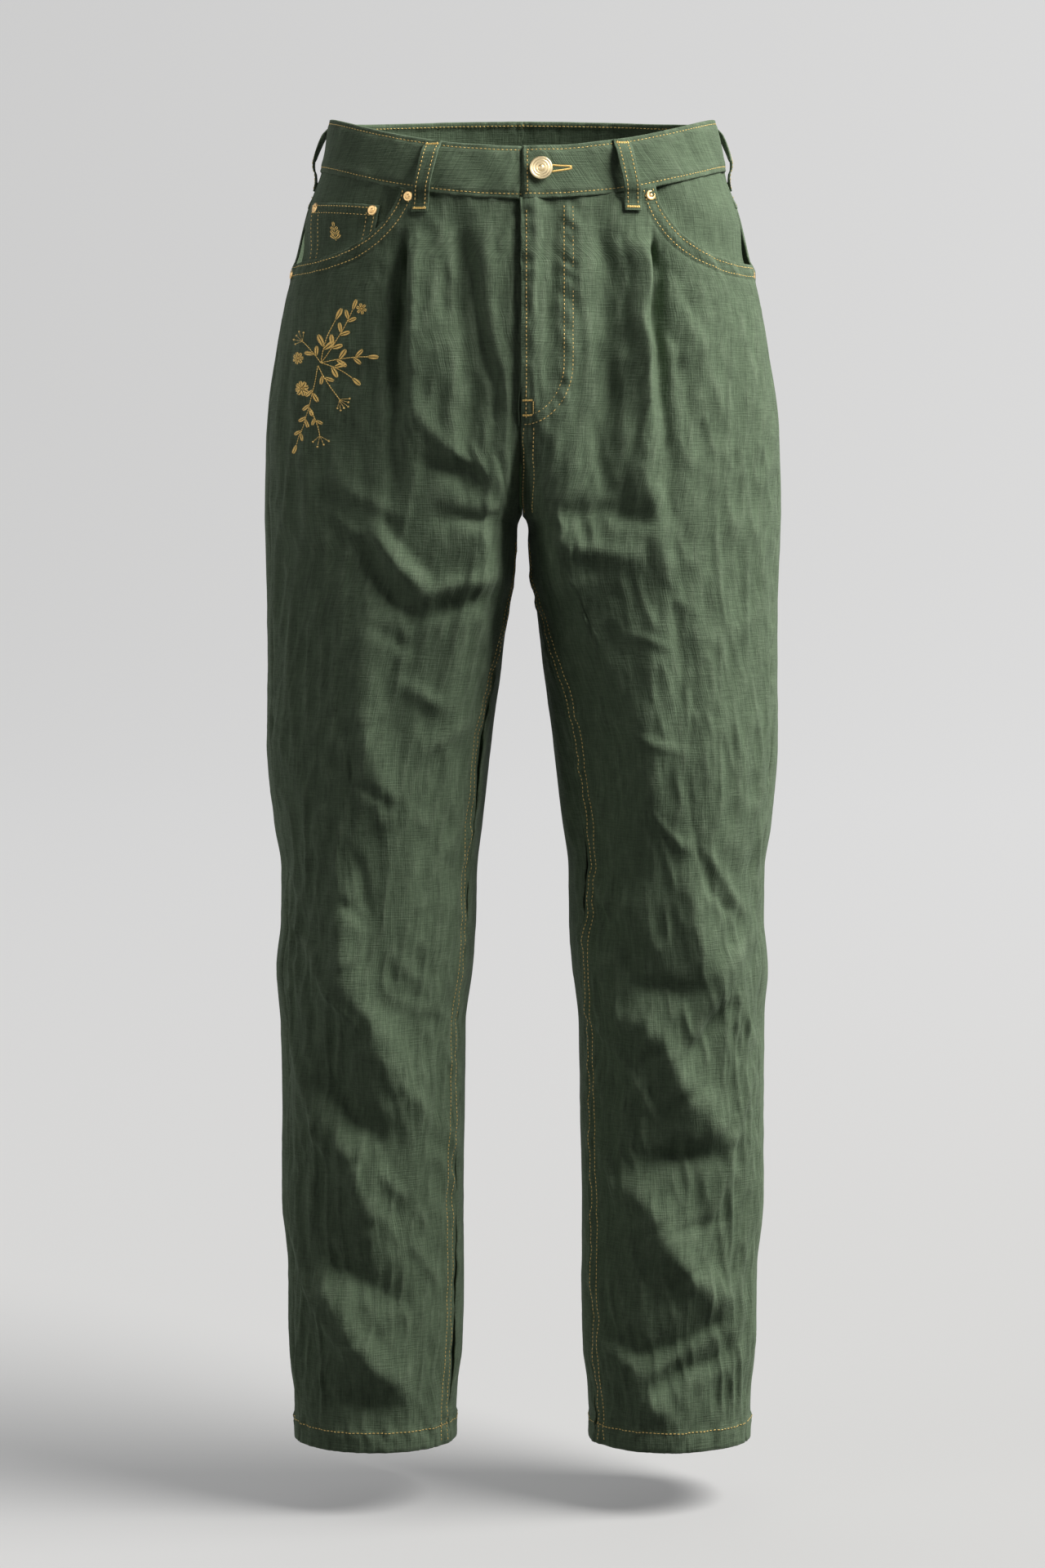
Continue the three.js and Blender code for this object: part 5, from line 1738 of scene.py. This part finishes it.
def paper_material():
    """White paper that glows by as much as the key light leaves it darker than its tone, so that it shows
    evenly, but with painted light that makes it lighter towards the key light's side.
    """
    s = Shader("paper", Roughness=1.0, Base_Color=(PAPER["albedo"],) * 3 + (1,))
    s.principled.inputs["Specular IOR Level"].default_value = 0.0
    s.principled.inputs["Emission Color"].default_value = (1, 1, 1, 1)
    place = s.add("NewGeometry", {}, output="Position")
    normal = s.add("NewGeometry", {}, output="Normal")
    key_at = light_place(KEY_LIGHT["turn"], KEY_LIGHT["height"], KEY_LIGHT["distance"])
    to_key = s.add("VectorMath", {0: key_at, 1: place}, operation="SUBTRACT")
    distance = s.add("VectorMath", {0: to_key}, output="Value", operation="LENGTH")
    aim = [part / KEY_LIGHT["distance"] for part in np.subtract(key_at, STUDIO_CENTRE)]
    facing = s.add("VectorMath", {0: to_key, 1: normal}, output="Value", operation="DOT_PRODUCT")
    aimed = s.add("VectorMath", {0: to_key, 1: aim}, output="Value", operation="DOT_PRODUCT")
    both = s.math("MULTIPLY", s.math("MAXIMUM", facing, 0.0), s.math("MAXIMUM", aimed, 0.0))
    lit = s.math("DIVIDE", both, s.math("POWER", distance, 4.0))
    lit = s.math("MULTIPLY", lit, KEY_LIGHT["power"] * PAPER["albedo"] * PAPER["key"] / math.pi**2)
    across = s.add("SeparateXYZ", {0: place}, output="X")
    # the tone grows towards +x: a painted light falloff from the key light on the right
    tone = s.remap(across, -1.5, 1.5, PAPER["left"], PAPER["right"])
    s.links.new(s.math("SUBTRACT", tone, lit), s.principled.inputs["Emission Strength"])
    return s.material


def light_place(turn, height, distance):
    turn, up = math.radians(turn), math.radians(height)
    way = (math.cos(up) * math.sin(turn), -math.cos(up) * math.cos(turn), math.sin(up))
    return [centre + distance * part for centre, part in zip(STUDIO_CENTRE, way)]


def soft_light(name, turn, height, distance, size, power, on_cloth):
    light = bpy.data.lights.new(name, "AREA")
    light.shape = "DISK"
    light.size = size
    light.energy = power
    light.color = LIGHT_COLOUR
    obj = bpy.data.objects.new(name, light)
    obj.location = light_place(turn, height, distance)
    look_at(obj, STUDIO_CENTRE)
    obj.visible_diffuse = on_cloth
    obj.visible_camera = False
    bpy.context.scene.collection.objects.link(obj)


def sky():
    """Faint light from all round, which grows towards the back."""
    world = bpy.data.worlds.new("studio")
    world.use_nodes = True
    nodes, links = world.node_tree.nodes, world.node_tree.links
    background = nodes["Background"]
    background.inputs["Color"].default_value = SKY_COLOUR
    way = nodes.new("ShaderNodeTexCoord")
    split = nodes.new("ShaderNodeSeparateXYZ")
    strength = nodes.new("ShaderNodeMapRange")
    strength.inputs["From Min"].default_value = -0.2
    strength.inputs["To Min"].default_value = WORLD["front"]
    strength.inputs["To Max"].default_value = WORLD["back"]
    links.new(way.outputs["Generated"], split.inputs["Vector"])
    links.new(split.outputs["Y"], strength.inputs["Value"])
    links.new(strength.outputs["Result"], background.inputs["Strength"])
    return world


def studio():
    scene = bpy.context.scene
    scene.world = sky()
    for light in LIGHTS:
        soft_light(*light)
    camera = bpy.data.cameras.new("camera")
    camera.lens, camera.sensor_width = CAMERA["lens"], CAMERA["sensor"]
    obj = bpy.data.objects.new("camera", camera)
    obj.location = CAMERA["at"]
    look_at(obj, CAMERA["aim"])
    scene.collection.objects.link(obj)
    scene.camera = obj
    scene.view_settings.view_transform = "Standard"
    backdrop()


# ------------------------------------------------------------------ the jeans


def dress():
    denim, thread = denim_material(), thread_material()
    pale, copper = metal_material("pale_brass", BRASS), metal_material("coppery_brass", COPPER)
    band = waistband(denim)
    fly_shield(denim)
    coin_pocket(denim)
    for side in ("left", "right"):
        front_panel(side, denim)
        back = back_panel(side, denim)
        yoke(side, denim)
        pocket_facing(side, denim)
        back_pocket(side, denim)
    for row in LOOPS:
        belt_loop(row, denim)
    seam_tapes(denim)
    brass_parts(pale, copper)
    sew(thread)


def sew(thread):
    for side in ("left", "right"):
        front = Sewing(f"front_{side}_stitches")
        sew_mouths(front, side)
        sew_inseam(front, side)
        sew_hem(front, side)
        if side == "left":
            sew_fly(front)
            sew_fly_tack(front)
            sew_centre_seams(front)
        front.build(thread)
        back = Sewing(f"back_{side}_stitches")
        sew_back(back, side)
        back.build(thread)
    coin = Sewing("coin_pocket_stitches")
    sew_coin_pocket(coin)
    embroider_coin_pocket(coin)
    coin.build(thread)
    band = Sewing("waistband_stitches")
    sew_band(band)
    sew_back_centre_tack(band)
    sew_buttonhole(band)
    for row in LOOPS:
        sew_loop(band, row)
    band.build(thread)
    hip = Sewing("hip_embroidery")
    embroider_hip(hip)
    hip.build(thread)


dress()
studio()
